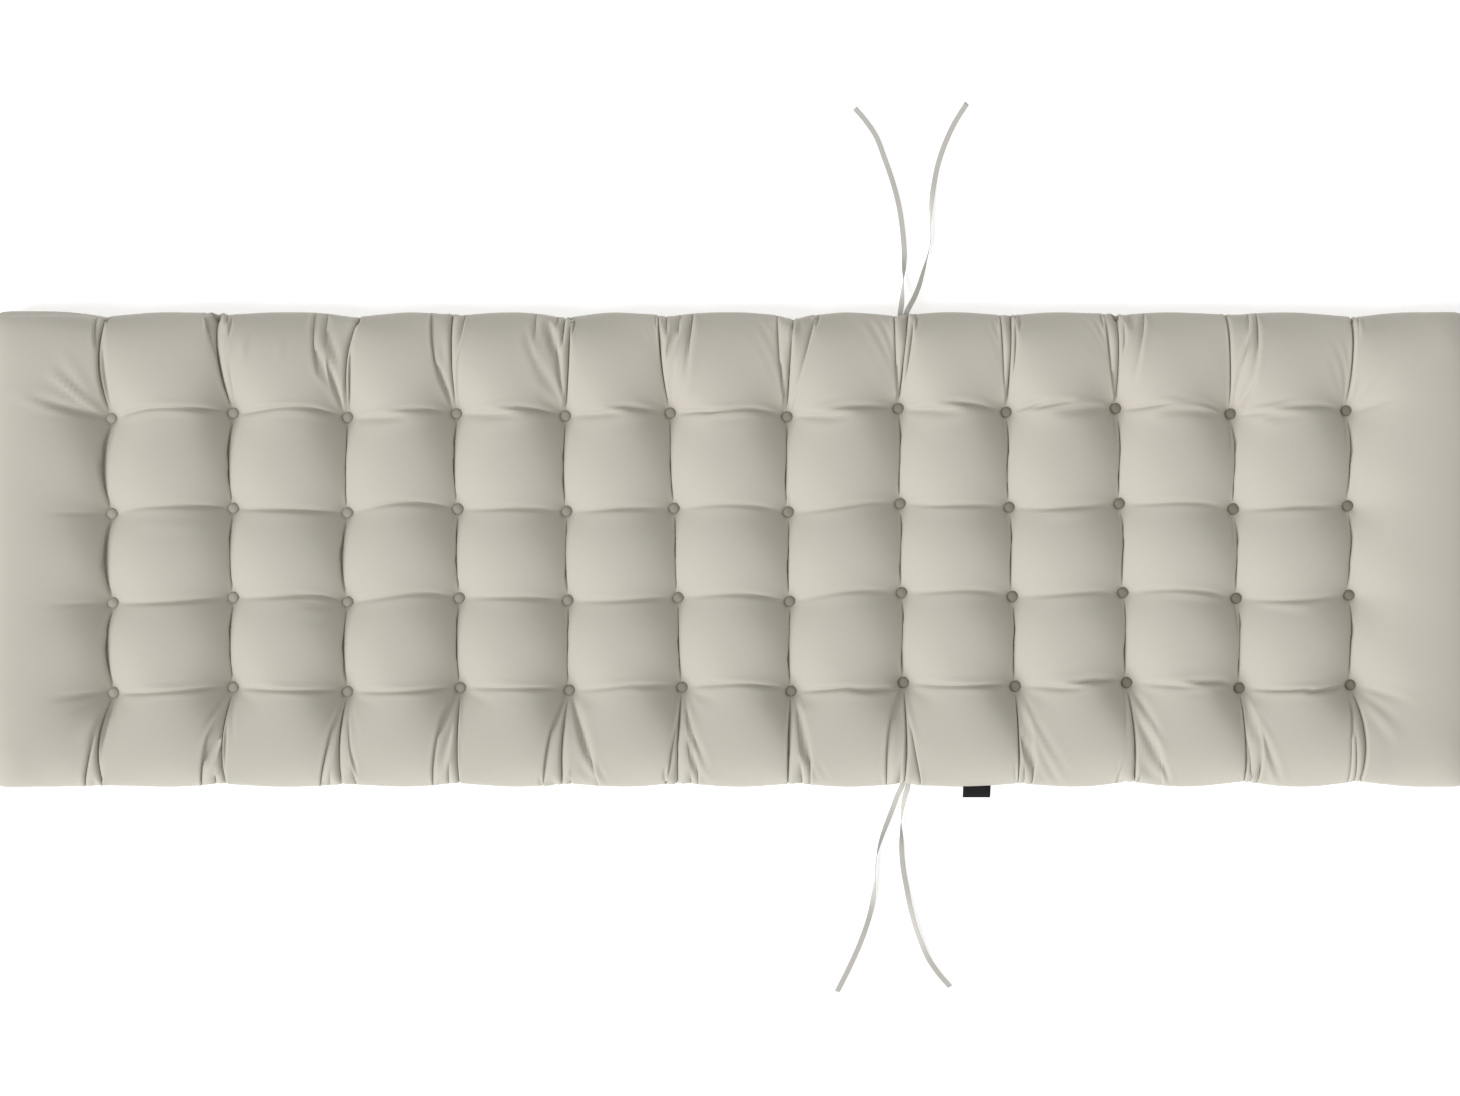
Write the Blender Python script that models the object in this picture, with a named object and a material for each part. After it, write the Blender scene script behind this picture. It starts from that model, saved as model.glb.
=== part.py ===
"""Tufted cushion for a sun lounger: one long filled pad, twelve columns of four covered buttons that pull it down into thirteen by five puffs, two pairs of flat tape ties sewn into the long edges and a small blank side label.

Metres, +Z up. X runs along the cushion, Y across it, and the cushion lies on Z = 0 with its middle over the origin."""

import math

import bpy
import numpy as np

MM = 0.001

# The pad
HALF_LENGTH = 950 * MM
HALF_WIDTH = 301 * MM
CROWN = 60 * MM  # top of a full puff
SEAM_Z = 28 * MM  # the sewn edge, about half way up
CORNER_RADIUS = 34 * MM
SIDE_ROUND = 62 * MM  # how far in from the long edges the top is still rising
END_ROUND = 74 * MM
EDGE_NOTCH = 5.5 * MM  # how far each column pulls the long edges in
END_NOTCH = 2.5 * MM

# The tufting
SEAT_Z = 19.5 * MM  # cloth under a button
SEAT_REACH = 13.5 * MM  # half the side of the small level place the button sits in
SEAT_RISE = 0.14  # its slope
TROUGH_Z = 35 * MM  # bottom of a column crease, midway between two buttons
TROUGH_OUT_Z = 39 * MM  # the same, between an outer button and the edge
ROW_Z = 50 * MM  # ridge of a puff where a row of buttons crosses it
ROWS_Y = (-174.9 * MM, -61.3 * MM, 51.5 * MM, 172.0 * MM)  # near to far

# One row per column of buttons, in millimetres. x: where it crosses the middle;
# lean: how much further along its near button is than its far one; dy: how far
# the whole column sits off the rows; bow: how far its creases sag sideways;
# far_left to near_right: where the side pleats of the outer buttons meet the
# edge, counted from the column, 0 for none.
COLUMN_FIELDS = ("x", "lean", "dy", "bow", "far_left", "far_right", "near_left", "near_right")
COLUMNS = (
    (-780.8, 2.5, -6.3, -6.0, 14, 0, 25, 0),
    (-628.3, 0.0, 0.6, -5.0, 18, 0, 22, 0),
    (-483.7, 0.0, -5.0, -4.0, 30, 15, 20, 16),
    (-343.5, 5.0, 0.0, -3.0, 24, 0, 18, 0),
    (-205.9, 5.0, -3.2, -2.5, 32, 0, 22, 24),
    (-68.2, 15.0, 0.6, -2.0, 22, 16, 16, 0),
    (74.5, 5.0, -4.1, -1.0, 0, 26, 0, 20),
    (216.0, 6.3, 6.6, 0.0, 0, 14, 22, 20),
    (354.9, 11.4, 1.9, 1.5, 16, 0, 0, 22),
    (494.5, 13.9, 6.6, 2.0, 14, 24, 0, 28),
    (638.2, 11.4, -0.3, 2.0, 0, 26, 0, 16),
    (781.8, 5.0, 3.5, 2.5, 0, 14, 16, 0),
)
PLEAT_DEPTH = 4.5 * MM

# Where the lines of the cloth run, as parts of the way across a puff
ACROSS = (0.0, 0.07, 0.19, 0.50, 0.81, 0.93)
ALONG = (0.0, 0.085, 0.20, 0.50, 0.80, 0.915)
FROM_END = (0.0, 0.02, 0.08, 0.20, 0.42, 0.70, 0.86, 0.94)
FROM_SIDE = (0.0, 0.02, 0.08, 0.20, 0.46, 0.80, 0.92)

# The under side: a level patch below each puff and shallow channels between
UNDER_ACROSS = (0.0, 0.16, 0.84)
UNDER_ALONG = (0.0, 0.17, 0.83)
UNDER_FROM_END = (0.19, 0.50, 0.86)
UNDER_FROM_SIDE = (0.24, 0.50, 0.84)
UNDER_COLUMN_Z = 3.0 * MM
UNDER_ROW_Z = 2.0 * MM
UNDER_TUFT_Z = 8.0 * MM
# One row per loop of the rounded lower edge, seam to under side: how far of the
# way in to the level patch, and how high
UNDER_EDGE = ((0.12, 12.0 * MM), (0.50, 2.5 * MM))

# The buttons: (radius, height above its base), rim to crown
BUTTON_SIDES = 8
BUTTON_RINGS = ((6.5 * MM, 0.0), (7.25 * MM, 2.0 * MM), (5.2 * MM, 4.9 * MM))
BUTTON_TOP = 6.0 * MM
BUTTON_BASE_Z = SEAT_Z + 2.5 * MM

# The ties: flat tape. One row per section, in millimetres: along, across and
# up, then how far the tape is turned about its own line (0 lies flat).
TAPE_WIDTH = 7.0 * MM
TAPE_THICK = 1.2 * MM
TIE_FIELDS = ("x", "y", "z", "turn")
TIES = {
    "tie_nw": (
        (215.5, 299.4, 27.4, 0),
        (217.2, 310.0, 21.5, 15),
        (219.0, 325.0, 12.0, 50),
        (220.5, 342.0, 6.0, 90),
        (221.6, 360.0, 3.4, 150),
        (222.0, 378.0, 1.4, 180),
        (220.3, 402.3, 1.2, 180),
        (214.7, 440.2, 1.2, 180),
        (209.7, 460.4, 1.2, 176),
        (197.0, 498.3, 1.2, 180),
        (185.0, 528.6, 1.2, 180),
        (173.0, 546.3, 1.2, 180),
        (159.1, 562.7, 1.2, 180),
    ),
    "tie_ne": (
        (223.5, 300.4, 27.4, 0),
        (228.5, 310.0, 21.5, -8),
        (234.0, 320.0, 13.5, -15),
        (241.0, 337.0, 6.0, -22),
        (245.5, 352.5, 4.2, -40),
        (250.5, 370.0, 4.2, -72),
        (255.0, 390.0, 4.2, -90),
        (255.5, 420.0, 4.2, -95),
        (256.4, 440.0, 3.2, -140),
        (260.2, 467.9, 1.2, -180),
        (265.2, 491.9, 1.2, -180),
        (275.3, 521.0, 1.2, -180),
        (285.4, 542.5, 1.2, -180),
        (301.9, 569.0, 1.2, -180),
    ),
    "tie_sw": (
        (217.0, -299.6, 27.4, 0),
        (212.5, -311.0, 20.0, 6),
        (205.9, -331.5, 8.5, 12),
        (197.0, -356.0, 3.4, 25),
        (189.4, -379.5, 3.6, 60),
        (186.3, -395.0, 4.2, 90),
        (184.8, -420.0, 4.2, 92),
        (183.0, -440.0, 3.4, 140),
        (180.6, -455.3, 1.4, 175),
        (166.7, -499.5, 1.2, 180),
        (151.6, -533.6, 1.2, 180),
        (136.4, -563.9, 1.2, 180),
    ),
    "tie_se": (
        (224.5, -300.4, 27.4, 0),
        (222.0, -311.0, 20.5, -25),
        (219.0, -331.5, 9.5, -65),
        (217.8, -346.0, 5.2, -95),
        (218.2, -365.0, 3.6, -140),
        (218.5, -379.5, 1.6, -172),
        (220.5, -405.0, 1.2, -180),
        (224.8, -430.0, 1.2, -180),
        (229.5, -455.0, 2.2, -205),
        (236.2, -480.6, 2.8, -215),
        (244.0, -502.0, 2.2, -208),
        (252.6, -521.0, 1.3, -184),
        (266.0, -541.0, 1.2, -180),
        (280.4, -557.6, 1.2, -180),
    ),
}

# The side label: a folded tab, one row per section out from the seam
LABEL_X = (294.5 * MM, 329.5 * MM)
LABEL_THICK = 1.2 * MM
LABEL_FIELDS = ("y", "z")
LABEL = ((-301.7, 27.6), (-305.6, 26.6), (-309.4, 24.6), (-312.4, 22.0))

CANVAS = (0.60, 0.565, 0.515, 1.0)
CANVAS_BUTTON = (0.50, 0.465, 0.415, 1.0)
TAPE = (0.57, 0.53, 0.47, 1.0)
LABEL_BLACK = (0.012, 0.012, 0.013, 1.0)


def named(fields, row):
    return dict(zip(fields, row))


def material(name, colour, rough):
    made = bpy.data.materials.new(name)
    made.use_nodes = True
    made.diffuse_color = colour
    shader = made.node_tree.nodes["Principled BSDF"]
    shader.inputs["Base Color"].default_value = colour
    shader.inputs["Roughness"].default_value = rough
    return made


def add(name, mesh, look):
    if not mesh.materials:
        mesh.materials.append(look)
    made = bpy.data.objects.new(name, mesh)
    bpy.context.scene.collection.objects.link(made)
    return made


def mesh_of(name, points, faces):
    mesh = bpy.data.meshes.new(name)
    mesh.from_pydata([tuple(map(float, p)) for p in points], [], faces)
    mesh.validate()
    return mesh


# ---- lines of the tufting

COLUMN = [named(COLUMN_FIELDS, row) for row in COLUMNS]
LAST_ROW = len(ROWS_Y) - 1


def along_width(b):
    """Where b, counted in rows from the near edge, falls between the near and far buttons: -0.5 at the near row, 0.5 at the far one, level outside them."""
    return min(max((b - 1) / LAST_ROW, 0.0), 1.0) - 0.5


def column_x(k, b):
    """The line of column k: 0 and 13 are the two ends."""
    if k == 0:
        return -HALF_LENGTH
    if k == len(COLUMN) + 1:
        return HALF_LENGTH
    c = COLUMN[k - 1]
    sag = math.sin(math.pi * (b % 1.0)) * c["bow"] if 1 < b < LAST_ROW + 1 else 0.0
    return (c["x"] - c["lean"] * along_width(b) + sag) * MM


def column_dy(a):
    steps = [0.0] + [c["dy"] for c in COLUMN] + [0.0]
    steps[0], steps[-1] = steps[1], steps[-2]
    k = min(int(a), len(steps) - 2)
    return (steps[k] + (steps[k + 1] - steps[k]) * (a - k)) * MM


def swell(s, power=2.4, lift=0.55):
    """How full a puff is from one crease (0) to the next (1)."""
    return max(1.0 - abs(2.0 * s - 1.0) ** power, 0.0) ** lift


def row_y(m, a):
    """The line of row m: 0 and 5 are the near and far edges, drawn in at each column."""
    if 0 < m < len(ROWS_Y) + 1:
        return ROWS_Y[m - 1] + column_dy(a)
    s = a % 1.0
    inner = 1.0 <= a <= len(COLUMN)
    full = swell(s, 2.0, 0.6) if inner else swell(0.5 + 0.5 * (s if a > 1 else 1 - s), 2.0, 0.6)
    edge = HALF_WIDTH - EDGE_NOTCH * (1.0 - full)
    return edge if m else -edge


def place(a, b):
    """Plan position of line (a, b) of the cloth."""
    k, m = min(int(a), len(COLUMN)), min(int(b), len(ROWS_Y))
    s, t = a - k, b - m
    x = column_x(k, b) * (1 - s) + column_x(k + 1, b) * s
    y = row_y(m, a) * (1 - t) + row_y(m + 1, a) * t
    if 1.0 < b < len(ROWS_Y):
        pull = END_NOTCH * (1.0 - swell(t, 2.0, 0.6))
    else:
        pull = 0.0
    if a < 1:
        x += pull * (1 - a)
    if a > len(COLUMN):
        x -= pull * (a - len(COLUMN))
    return rounded(x, y)


def rounded(x, y):
    """Draws the four square corners round."""
    over_x = (abs(x) - (HALF_LENGTH - CORNER_RADIUS)) / CORNER_RADIUS
    over_y = (abs(y) - (HALF_WIDTH - CORNER_RADIUS)) / CORNER_RADIUS
    if over_x <= 0 or over_y <= 0:
        return x, y
    over_x, over_y = min(over_x, 1.0), min(over_y, 1.0)
    round_x = over_x * math.sqrt(1 - over_y**2 / 2)
    round_y = over_y * math.sqrt(1 - over_x**2 / 2)
    return (
        math.copysign(HALF_LENGTH - CORNER_RADIUS + round_x * CORNER_RADIUS, x),
        math.copysign(HALF_WIDTH - CORNER_RADIUS + round_y * CORNER_RADIUS, y),
    )


def rise(distance, reach):
    """The quarter-round by which the top climbs from the seam."""
    return math.sqrt(max(1 - (1 - min(distance / reach, 1.0)) ** 2, 0.0))


def top_z(a, b):
    k, m = min(int(a), len(COLUMN)), min(int(b), len(ROWS_Y))
    s, t = a - k, b - m
    inner_row = 0 < m < len(ROWS_Y)
    if not inner_row:
        t_in = t if m == 0 else 1 - t  # 1 at the outer buttons
        t = 0.5 + 0.5 * t_in
    trough = SEAT_Z + ((TROUGH_Z if inner_row else TROUGH_OUT_Z) - SEAT_Z) * math.sin(math.pi * t) ** 0.8
    ridge = ROW_Z + (CROWN - ROW_Z) * math.sin(math.pi * t) ** 0.7
    if k in (0, len(COLUMN)):
        s_in = s if k == 0 else 1 - s  # 1 at the end column
        full = swell(0.5 + 0.5 * s_in)
        ridge += (CROWN - 1.5 * MM - ridge) * (1 - s_in) ** 0.6 * 0.9
    else:
        full = swell(s)
    puff = trough + (ridge - trough) * full
    x, y = place(a, b)
    edge_x = HALF_LENGTH - abs(column_x(k, b) * (1 - s) + column_x(k + 1, b) * s)
    edge_y = abs(row_y(0 if y < 0 else len(ROWS_Y) + 1, a)) - abs(row_y(m, a) * (1 - (b - m)) + row_y(m + 1, a) * (b - m))
    return SEAM_Z + (puff - SEAM_Z) * rise(edge_x, END_ROUND) * rise(edge_y, SIDE_ROUND)


def nearest_button(x, y):
    """Offsets from the nearest button."""
    best = min(BUTTON_AT.values(), key=lambda at: (at[0] - x) ** 2 + (at[1] - y) ** 2)
    return abs(x - best[0]), abs(y - best[1])


BUTTON_AT = {
    (len(ROWS_Y) + 1 - m, k): place(float(k), float(m))
    for k in range(1, len(COLUMN) + 1)
    for m in range(1, len(ROWS_Y) + 1)
}


def fanned(a, b):
    """Beside an outer button the lines of the cloth spread towards the edge, with a pleat sunk into the second one on each side: the shifted a, and how deep the pleat is."""
    k = round(a)
    offset = round((a - k) * 100) / 100
    if not 1 <= k <= len(COLUMN) or not 0.0 < abs(offset) < 0.2:
        return a, 0.0
    if b < 1:
        out, side = 1 - b, "near_"
    elif b > len(ROWS_Y):
        out, side = b - len(ROWS_Y), "far_"
    else:
        return a, 0.0
    foot = COLUMN[k - 1][side + ("left" if offset < 0 else "right")]
    if not foot:
        return a, 0.0
    puff_width = abs(column_x(k + (1 if offset > 0 else -1), b) - column_x(k, b)) / MM
    first = abs(offset) < 0.12
    reach = foot / puff_width * (0.5 if first else 1.0)
    spread = abs(offset) + (reach - abs(offset)) * min(out * 1.15, 1.0)
    deep = PLEAT_DEPTH * math.sin(math.pi * min(max(out, 0.0), 1.0) ** 0.8)
    return k + math.copysign(spread, offset), (0.0 if first else deep)


def top_point(a, b):
    shifted, deep = fanned(a, b)
    x, y = place(shifted, b)
    z = top_z(shifted, b) - deep
    dx, dy = nearest_button(x, y)
    if dx < SEAT_REACH and dy < SEAT_REACH:
        z = SEAT_Z + SEAT_RISE * (dx + dy)
    return x, y, z


def lines(cells, inner, outer):
    """The lines across all cells, counted in cells: outer ones from the rim, then the inner ones."""
    found = list(outer)
    for k in range(1, cells - 1):
        found += [k + part for part in inner]
    return found + [cells - part for part in reversed(outer)] if outer[0] else (
        found + [cells - 1 + 0.0] + [cells - part for part in reversed(outer)]
    )


def grid(a_lines, b_lines, point):
    """Points row by row, and each quad as its four numbers, counterclockwise seen from above."""
    points = [point(a, b) for b in b_lines for a in a_lines]
    wide = len(a_lines)
    quads = [
        (j * wide + i, j * wide + i + 1, (j + 1) * wide + i + 1, (j + 1) * wide + i)
        for j in range(len(b_lines) - 1)
        for i in range(wide - 1)
    ]
    return points, quads


def rim_sides(wide, tall):
    """The four sides of a grid's rim, each from corner to corner, counterclockwise."""
    near = list(range(wide))
    right = [j * wide + wide - 1 for j in range(tall)]
    far = [(tall - 1) * wide + i for i in reversed(range(wide))]
    left = [j * wide for j in reversed(range(tall))]
    return near, right, far, left


def zipped(points, outer, inner):
    """Triangles between two chains that run the same way, seen from above with the outer on the right of the inner; they face down."""
    def measure(chain):
        steps = [0.0]
        for p, q in zip(chain, chain[1:]):
            steps.append(steps[-1] + math.dist(points[p][:2], points[q][:2]))
        return [step / steps[-1] for step in steps]

    at_outer, at_inner = measure(outer), measure(inner)
    i = j = 0
    faces = []
    while i < len(outer) - 1 or j < len(inner) - 1:
        step_outer = i < len(outer) - 1 and (
            j == len(inner) - 1 or at_outer[i + 1] <= at_inner[j + 1]
        )
        if step_outer:
            faces.append((outer[i + 1], outer[i], inner[j]))
            i += 1
        else:
            faces.append((outer[i], inner[j], inner[j + 1]))
            j += 1
    return faces


def under_point(a, b):
    k, m = round(a), round(b)
    on_column = abs(a - k) < 1e-6 and 1 <= k <= len(COLUMN)
    on_row = abs(b - m) < 1e-6 and 1 <= m <= len(ROWS_Y)
    x, y = place(a, b)
    if on_column and on_row:
        return x, y, UNDER_TUFT_Z
    if on_column and 1 < b < len(ROWS_Y):
        return x, y, UNDER_COLUMN_Z
    if on_row and 1 < a < len(COLUMN):
        return x, y, UNDER_ROW_Z
    return x, y, 0.0


def split(quad, points):
    """Two triangles, cut along the diagonal that follows the lower crease."""
    p, q, r, s = quad
    if points[p][2] + points[r][2] <= points[q][2] + points[s][2]:
        return [(p, q, r), (p, r, s)]
    return [(p, q, s), (q, r, s)]


def cushion_mesh():
    cells_x, cells_y = len(COLUMN) + 1, len(ROWS_Y) + 1
    a_top = list(FROM_END) + [k + part for k in range(1, cells_x - 1) for part in ACROSS]
    a_top += [cells_x - 1.0] + [cells_x - part for part in reversed(FROM_END)]
    b_top = list(FROM_SIDE) + [m + part for m in range(1, cells_y - 1) for part in ALONG]
    b_top += [cells_y - 1.0] + [cells_y - part for part in reversed(FROM_SIDE)]
    points, quads = grid(a_top, b_top, top_point)
    faces = [tri for quad in quads for tri in split(quad, points)]
    seam = rim_sides(len(a_top), len(b_top))

    a_low = list(UNDER_FROM_END) + [k + part for k in range(1, cells_x - 1) for part in UNDER_ACROSS]
    a_low += [cells_x - 1.0] + [cells_x - part for part in reversed(UNDER_FROM_END)]
    b_low = list(UNDER_FROM_SIDE) + [m + part for m in range(1, cells_y - 1) for part in UNDER_ALONG]
    b_low += [cells_y - 1.0] + [cells_y - part for part in reversed(UNDER_FROM_SIDE)]
    low_points, low_quads = grid(a_low, b_low, under_point)
    start = len(points)
    points += low_points
    for quad in low_quads:
        p, q, r, s = (start + n for n in quad)
        faces += [(r, q, p), (s, r, p)]
    inner = [[start + n for n in side] for side in rim_sides(len(a_low), len(b_low))]

    # The rounded lower edge, as loops between the under side and the seam
    loops = [inner]
    for part, height in reversed(UNDER_EDGE):
        numbers = {}
        sides = []
        for side in inner:
            chain = []
            for n in side:
                if n not in numbers:
                    x, y, _ = points[n]
                    out_x, out_y = under_rim(x, y)
                    numbers[n] = len(points)
                    points.append((out_x + (x - out_x) * part, out_y + (y - out_y) * part, height))
                chain.append(numbers[n])
            sides.append(chain)
        loops.append(sides)
    for near_loop, far_loop in zip(loops, loops[1:] + [seam]):
        for inside, outside in zip(near_loop, far_loop):
            faces += zipped(points, outside, inside)
    return mesh_of("cushion", points, faces)


def under_rim(x, y):
    """The point of the edge straight out from a point of the level under side's rim."""
    inset_x = HALF_LENGTH - abs(x) < 40 * MM
    inset_y = HALF_WIDTH - abs(y) < 40 * MM
    out_x = math.copysign(HALF_LENGTH - 2 * MM, x) if inset_x else x
    out_y = math.copysign(HALF_WIDTH - EDGE_NOTCH, y) if inset_y else y
    return rounded(out_x, out_y)


def button_mesh():
    points = [
        (r * math.cos(2 * math.pi * i / BUTTON_SIDES), r * math.sin(2 * math.pi * i / BUTTON_SIDES), z)
        for r, z in BUTTON_RINGS
        for i in range(BUTTON_SIDES)
    ]
    points.append((0.0, 0.0, BUTTON_TOP))
    faces = [tuple(reversed(range(BUTTON_SIDES)))]
    for ring in range(len(BUTTON_RINGS) - 1):
        for i in range(BUTTON_SIDES):
            low, high = ring * BUTTON_SIDES, (ring + 1) * BUTTON_SIDES
            j = (i + 1) % BUTTON_SIDES
            faces.append((low + i, low + j, high + j, high + i))
    last = (len(BUTTON_RINGS) - 1) * BUTTON_SIDES
    faces += [
        (last + i, last + (i + 1) % BUTTON_SIDES, len(points) - 1) for i in range(BUTTON_SIDES)
    ]
    return mesh_of("button", points, faces)


def strip_mesh(name, sections):
    """A flat strip: each section is its middle, its half-width vector and its half-thickness vector."""
    points, faces = [], []
    for middle, wide, thick in sections:
        points += [middle - wide - thick, middle + wide - thick, middle + wide + thick, middle - wide + thick]
    for n in range(len(sections) - 1):
        for i in range(4):
            j = (i + 1) % 4
            faces.append((4 * n + i, 4 * n + 4 + i, 4 * n + 4 + j, 4 * n + j))
    end = 4 * (len(sections) - 1)
    faces += [(0, 1, 2, 3), (end + 3, end + 2, end + 1, end)]
    return mesh_of(name, points, faces)


def tie_mesh(name, rows):
    rows = [named(TIE_FIELDS, row) for row in rows]
    middles = [np.array((row["x"], row["y"], row["z"])) * MM for row in rows]
    sections = []
    for n, (row, middle) in enumerate(zip(rows, middles)):
        run = middles[min(n + 1, len(middles) - 1)] - middles[max(n - 1, 0)]
        run /= np.linalg.norm(run)
        flat = np.cross(run, (0.0, 0.0, 1.0))
        flat /= np.linalg.norm(flat)
        up = np.cross(flat, run)
        turn = math.radians(row["turn"])
        wide = flat * math.cos(turn) + up * math.sin(turn)
        thick = up * math.cos(turn) - flat * math.sin(turn)
        sections.append((middle, wide * TAPE_WIDTH / 2, thick * TAPE_THICK / 2))
    return strip_mesh(name, sections)


def label_mesh():
    rows = [named(LABEL_FIELDS, row) for row in LABEL]
    middle_x = sum(LABEL_X) / 2
    wide = np.array(((LABEL_X[0] - LABEL_X[1]) / 2, 0.0, 0.0))
    middles = [np.array((middle_x, row["y"] * MM, row["z"] * MM)) for row in rows]
    sections = []
    for n, middle in enumerate(middles):
        run = middles[min(n + 1, len(middles) - 1)] - middles[max(n - 1, 0)]
        thick = np.cross(wide, run)
        sections.append((middle, wide, thick / np.linalg.norm(thick) * LABEL_THICK / 2))
    return strip_mesh("label", sections)


def facing_out(obj):
    """Turns the strip's faces round if they point inwards."""
    mesh = obj.data
    volume = 0.0
    mesh.calc_loop_triangles()
    for tri in mesh.loop_triangles:
        p, q, r = (mesh.vertices[n].co for n in tri.vertices)
        volume += p.dot(q.cross(r))
    if volume < 0:
        mesh.flip_normals()


def main():
    for obj in list(bpy.data.objects):
        bpy.data.objects.remove(obj)
    canvas = material("canvas", CANVAS, 0.85)
    button_look = material("button_canvas", CANVAS_BUTTON, 0.85)
    tape = material("tape", TAPE, 0.85)
    black = material("label_black", LABEL_BLACK, 0.8)
    add("cushion", cushion_mesh(), canvas)
    shared = button_mesh()
    for (row, column), (x, y) in BUTTON_AT.items():
        made = add(f"button_r{row}_c{column:02d}", shared, button_look)
        made.location = (x, y, BUTTON_BASE_Z)
        made.rotation_euler = (0.0, 0.0, math.radians(11.0 * column + 17.0 * row))
    for name, rows in TIES.items():
        facing_out(add(name, tie_mesh(name, rows), tape))
    facing_out(add("label", label_mesh(), black))


main()
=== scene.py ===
"""Looks of the tufted sun lounger cushion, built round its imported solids.

The cloth is settled here by a small membrane solver of its own: the top panel is a flat piece of canvas with a little spare length both ways, held down at forty-eight buttons and along the sewn edge, and blown up by its filling until its threads are taut. What is spare folds into the creases between the puffs and, outside the outer buttons, into the tucks listed below. Millimetres until a mesh is made, Z up."""

import math

import bpy
import numpy as np
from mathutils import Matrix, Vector


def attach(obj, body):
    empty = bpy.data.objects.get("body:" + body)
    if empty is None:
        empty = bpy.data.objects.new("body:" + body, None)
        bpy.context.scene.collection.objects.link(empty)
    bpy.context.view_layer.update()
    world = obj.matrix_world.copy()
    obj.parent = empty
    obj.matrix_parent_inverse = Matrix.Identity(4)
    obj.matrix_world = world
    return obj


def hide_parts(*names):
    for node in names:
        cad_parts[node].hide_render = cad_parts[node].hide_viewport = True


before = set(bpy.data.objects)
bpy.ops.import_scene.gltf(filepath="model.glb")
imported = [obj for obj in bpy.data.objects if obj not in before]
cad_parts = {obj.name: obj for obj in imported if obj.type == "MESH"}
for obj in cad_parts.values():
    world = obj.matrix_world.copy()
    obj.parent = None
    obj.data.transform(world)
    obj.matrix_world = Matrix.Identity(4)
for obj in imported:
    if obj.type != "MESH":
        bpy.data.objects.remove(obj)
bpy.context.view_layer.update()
MM = 0.001

# ---------------------------------------------------------------- the pad
HALF_LENGTH = 948.0
HALF_WIDTH = 300.5
SEAM_Z = 28.0
SEAM_IN = 1.3
CORNER_RADIUS = 36.0
SIDE_ROUND = 60.0
SIDE_CLIMB = 32.0
BUTTON_Z = 23.5  # cloth under a button
ROWS_Y = (-174.9, -61.3, 51.5, 172.0)  # near to far
N_ROW = len(ROWS_Y)
PIN_RADIUS = 6.0
BUTTON_CLEAR = 7.4
TUCK_GAP = (0.12, 1.1)  # half the slit left where a tuck closes: at least, and more by its share
# and where the puffs on both sides of each column meet
SLITS = (0.16, 0.24, 0.24, 0.12, 0.12, 0.16, 0.12, 0.10, 0.10, 0.12, 0.12, 0.50)

FLANK = (0.5, 9.0)  # how far over a puff's left flank leans for each millimetre of cloth, and for how much cloth
BUTTON_FUNNEL = (0.6, 8.0)  # how the cloth opens round a button for each millimetre up, and up to where

# Columns of buttons: x at the middle, how much further along the near button
# is than the far one, how far the column sits off the rows, then how far each
# crease sags sideways (near, middle and far stretch), and its sway.
COLUMN_FIELDS = ("x", "lean", "dy", "bow_near", "bow_middle", "bow_far", "sway")
COLUMNS = (
    (-780.8, 2.5, -6.3, -7.0, -9.5, -11.0, 0.0),
    (-628.3, 0.0, 0.6, -2.5, -2.5, -5.0, -0.5),
    (-483.7, 0.0, -5.0, -4.5, -7.5, -0.5, 0.5),
    (-343.5, 5.0, 0.0, -3.5, -2.0, -3.5, 0.0),
    (-205.9, 5.0, -3.2, -0.5, -1.5, -3.0, 1.0),
    (-68.2, 15.0, 0.6, -2.0, -1.0, -2.0, 0.7),
    (74.5, 5.0, -4.1, -2.5, -1.5, -2.5, 1.5),
    (216.0, 6.3, 6.6, -1.0, -0.5, 0.5, 2.0),
    (354.9, 11.4, 1.9, -1.0, -1.0, -1.0, 2.2),
    (494.5, 13.9, 6.6, -1.5, 1.0, 1.5, 2.5),
    (638.2, 11.4, -0.3, 0.5, 1.5, 2.5, 2.2),
    (781.8, 5.0, 3.5, -0.5, 1.0, 2.5, 2.0),
)
COLUMN = [dict(zip(COLUMN_FIELDS, row)) for row in COLUMNS]
WOBBLE = 0.7  # how much each crease wavers
N_COL = len(COLUMN)

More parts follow.
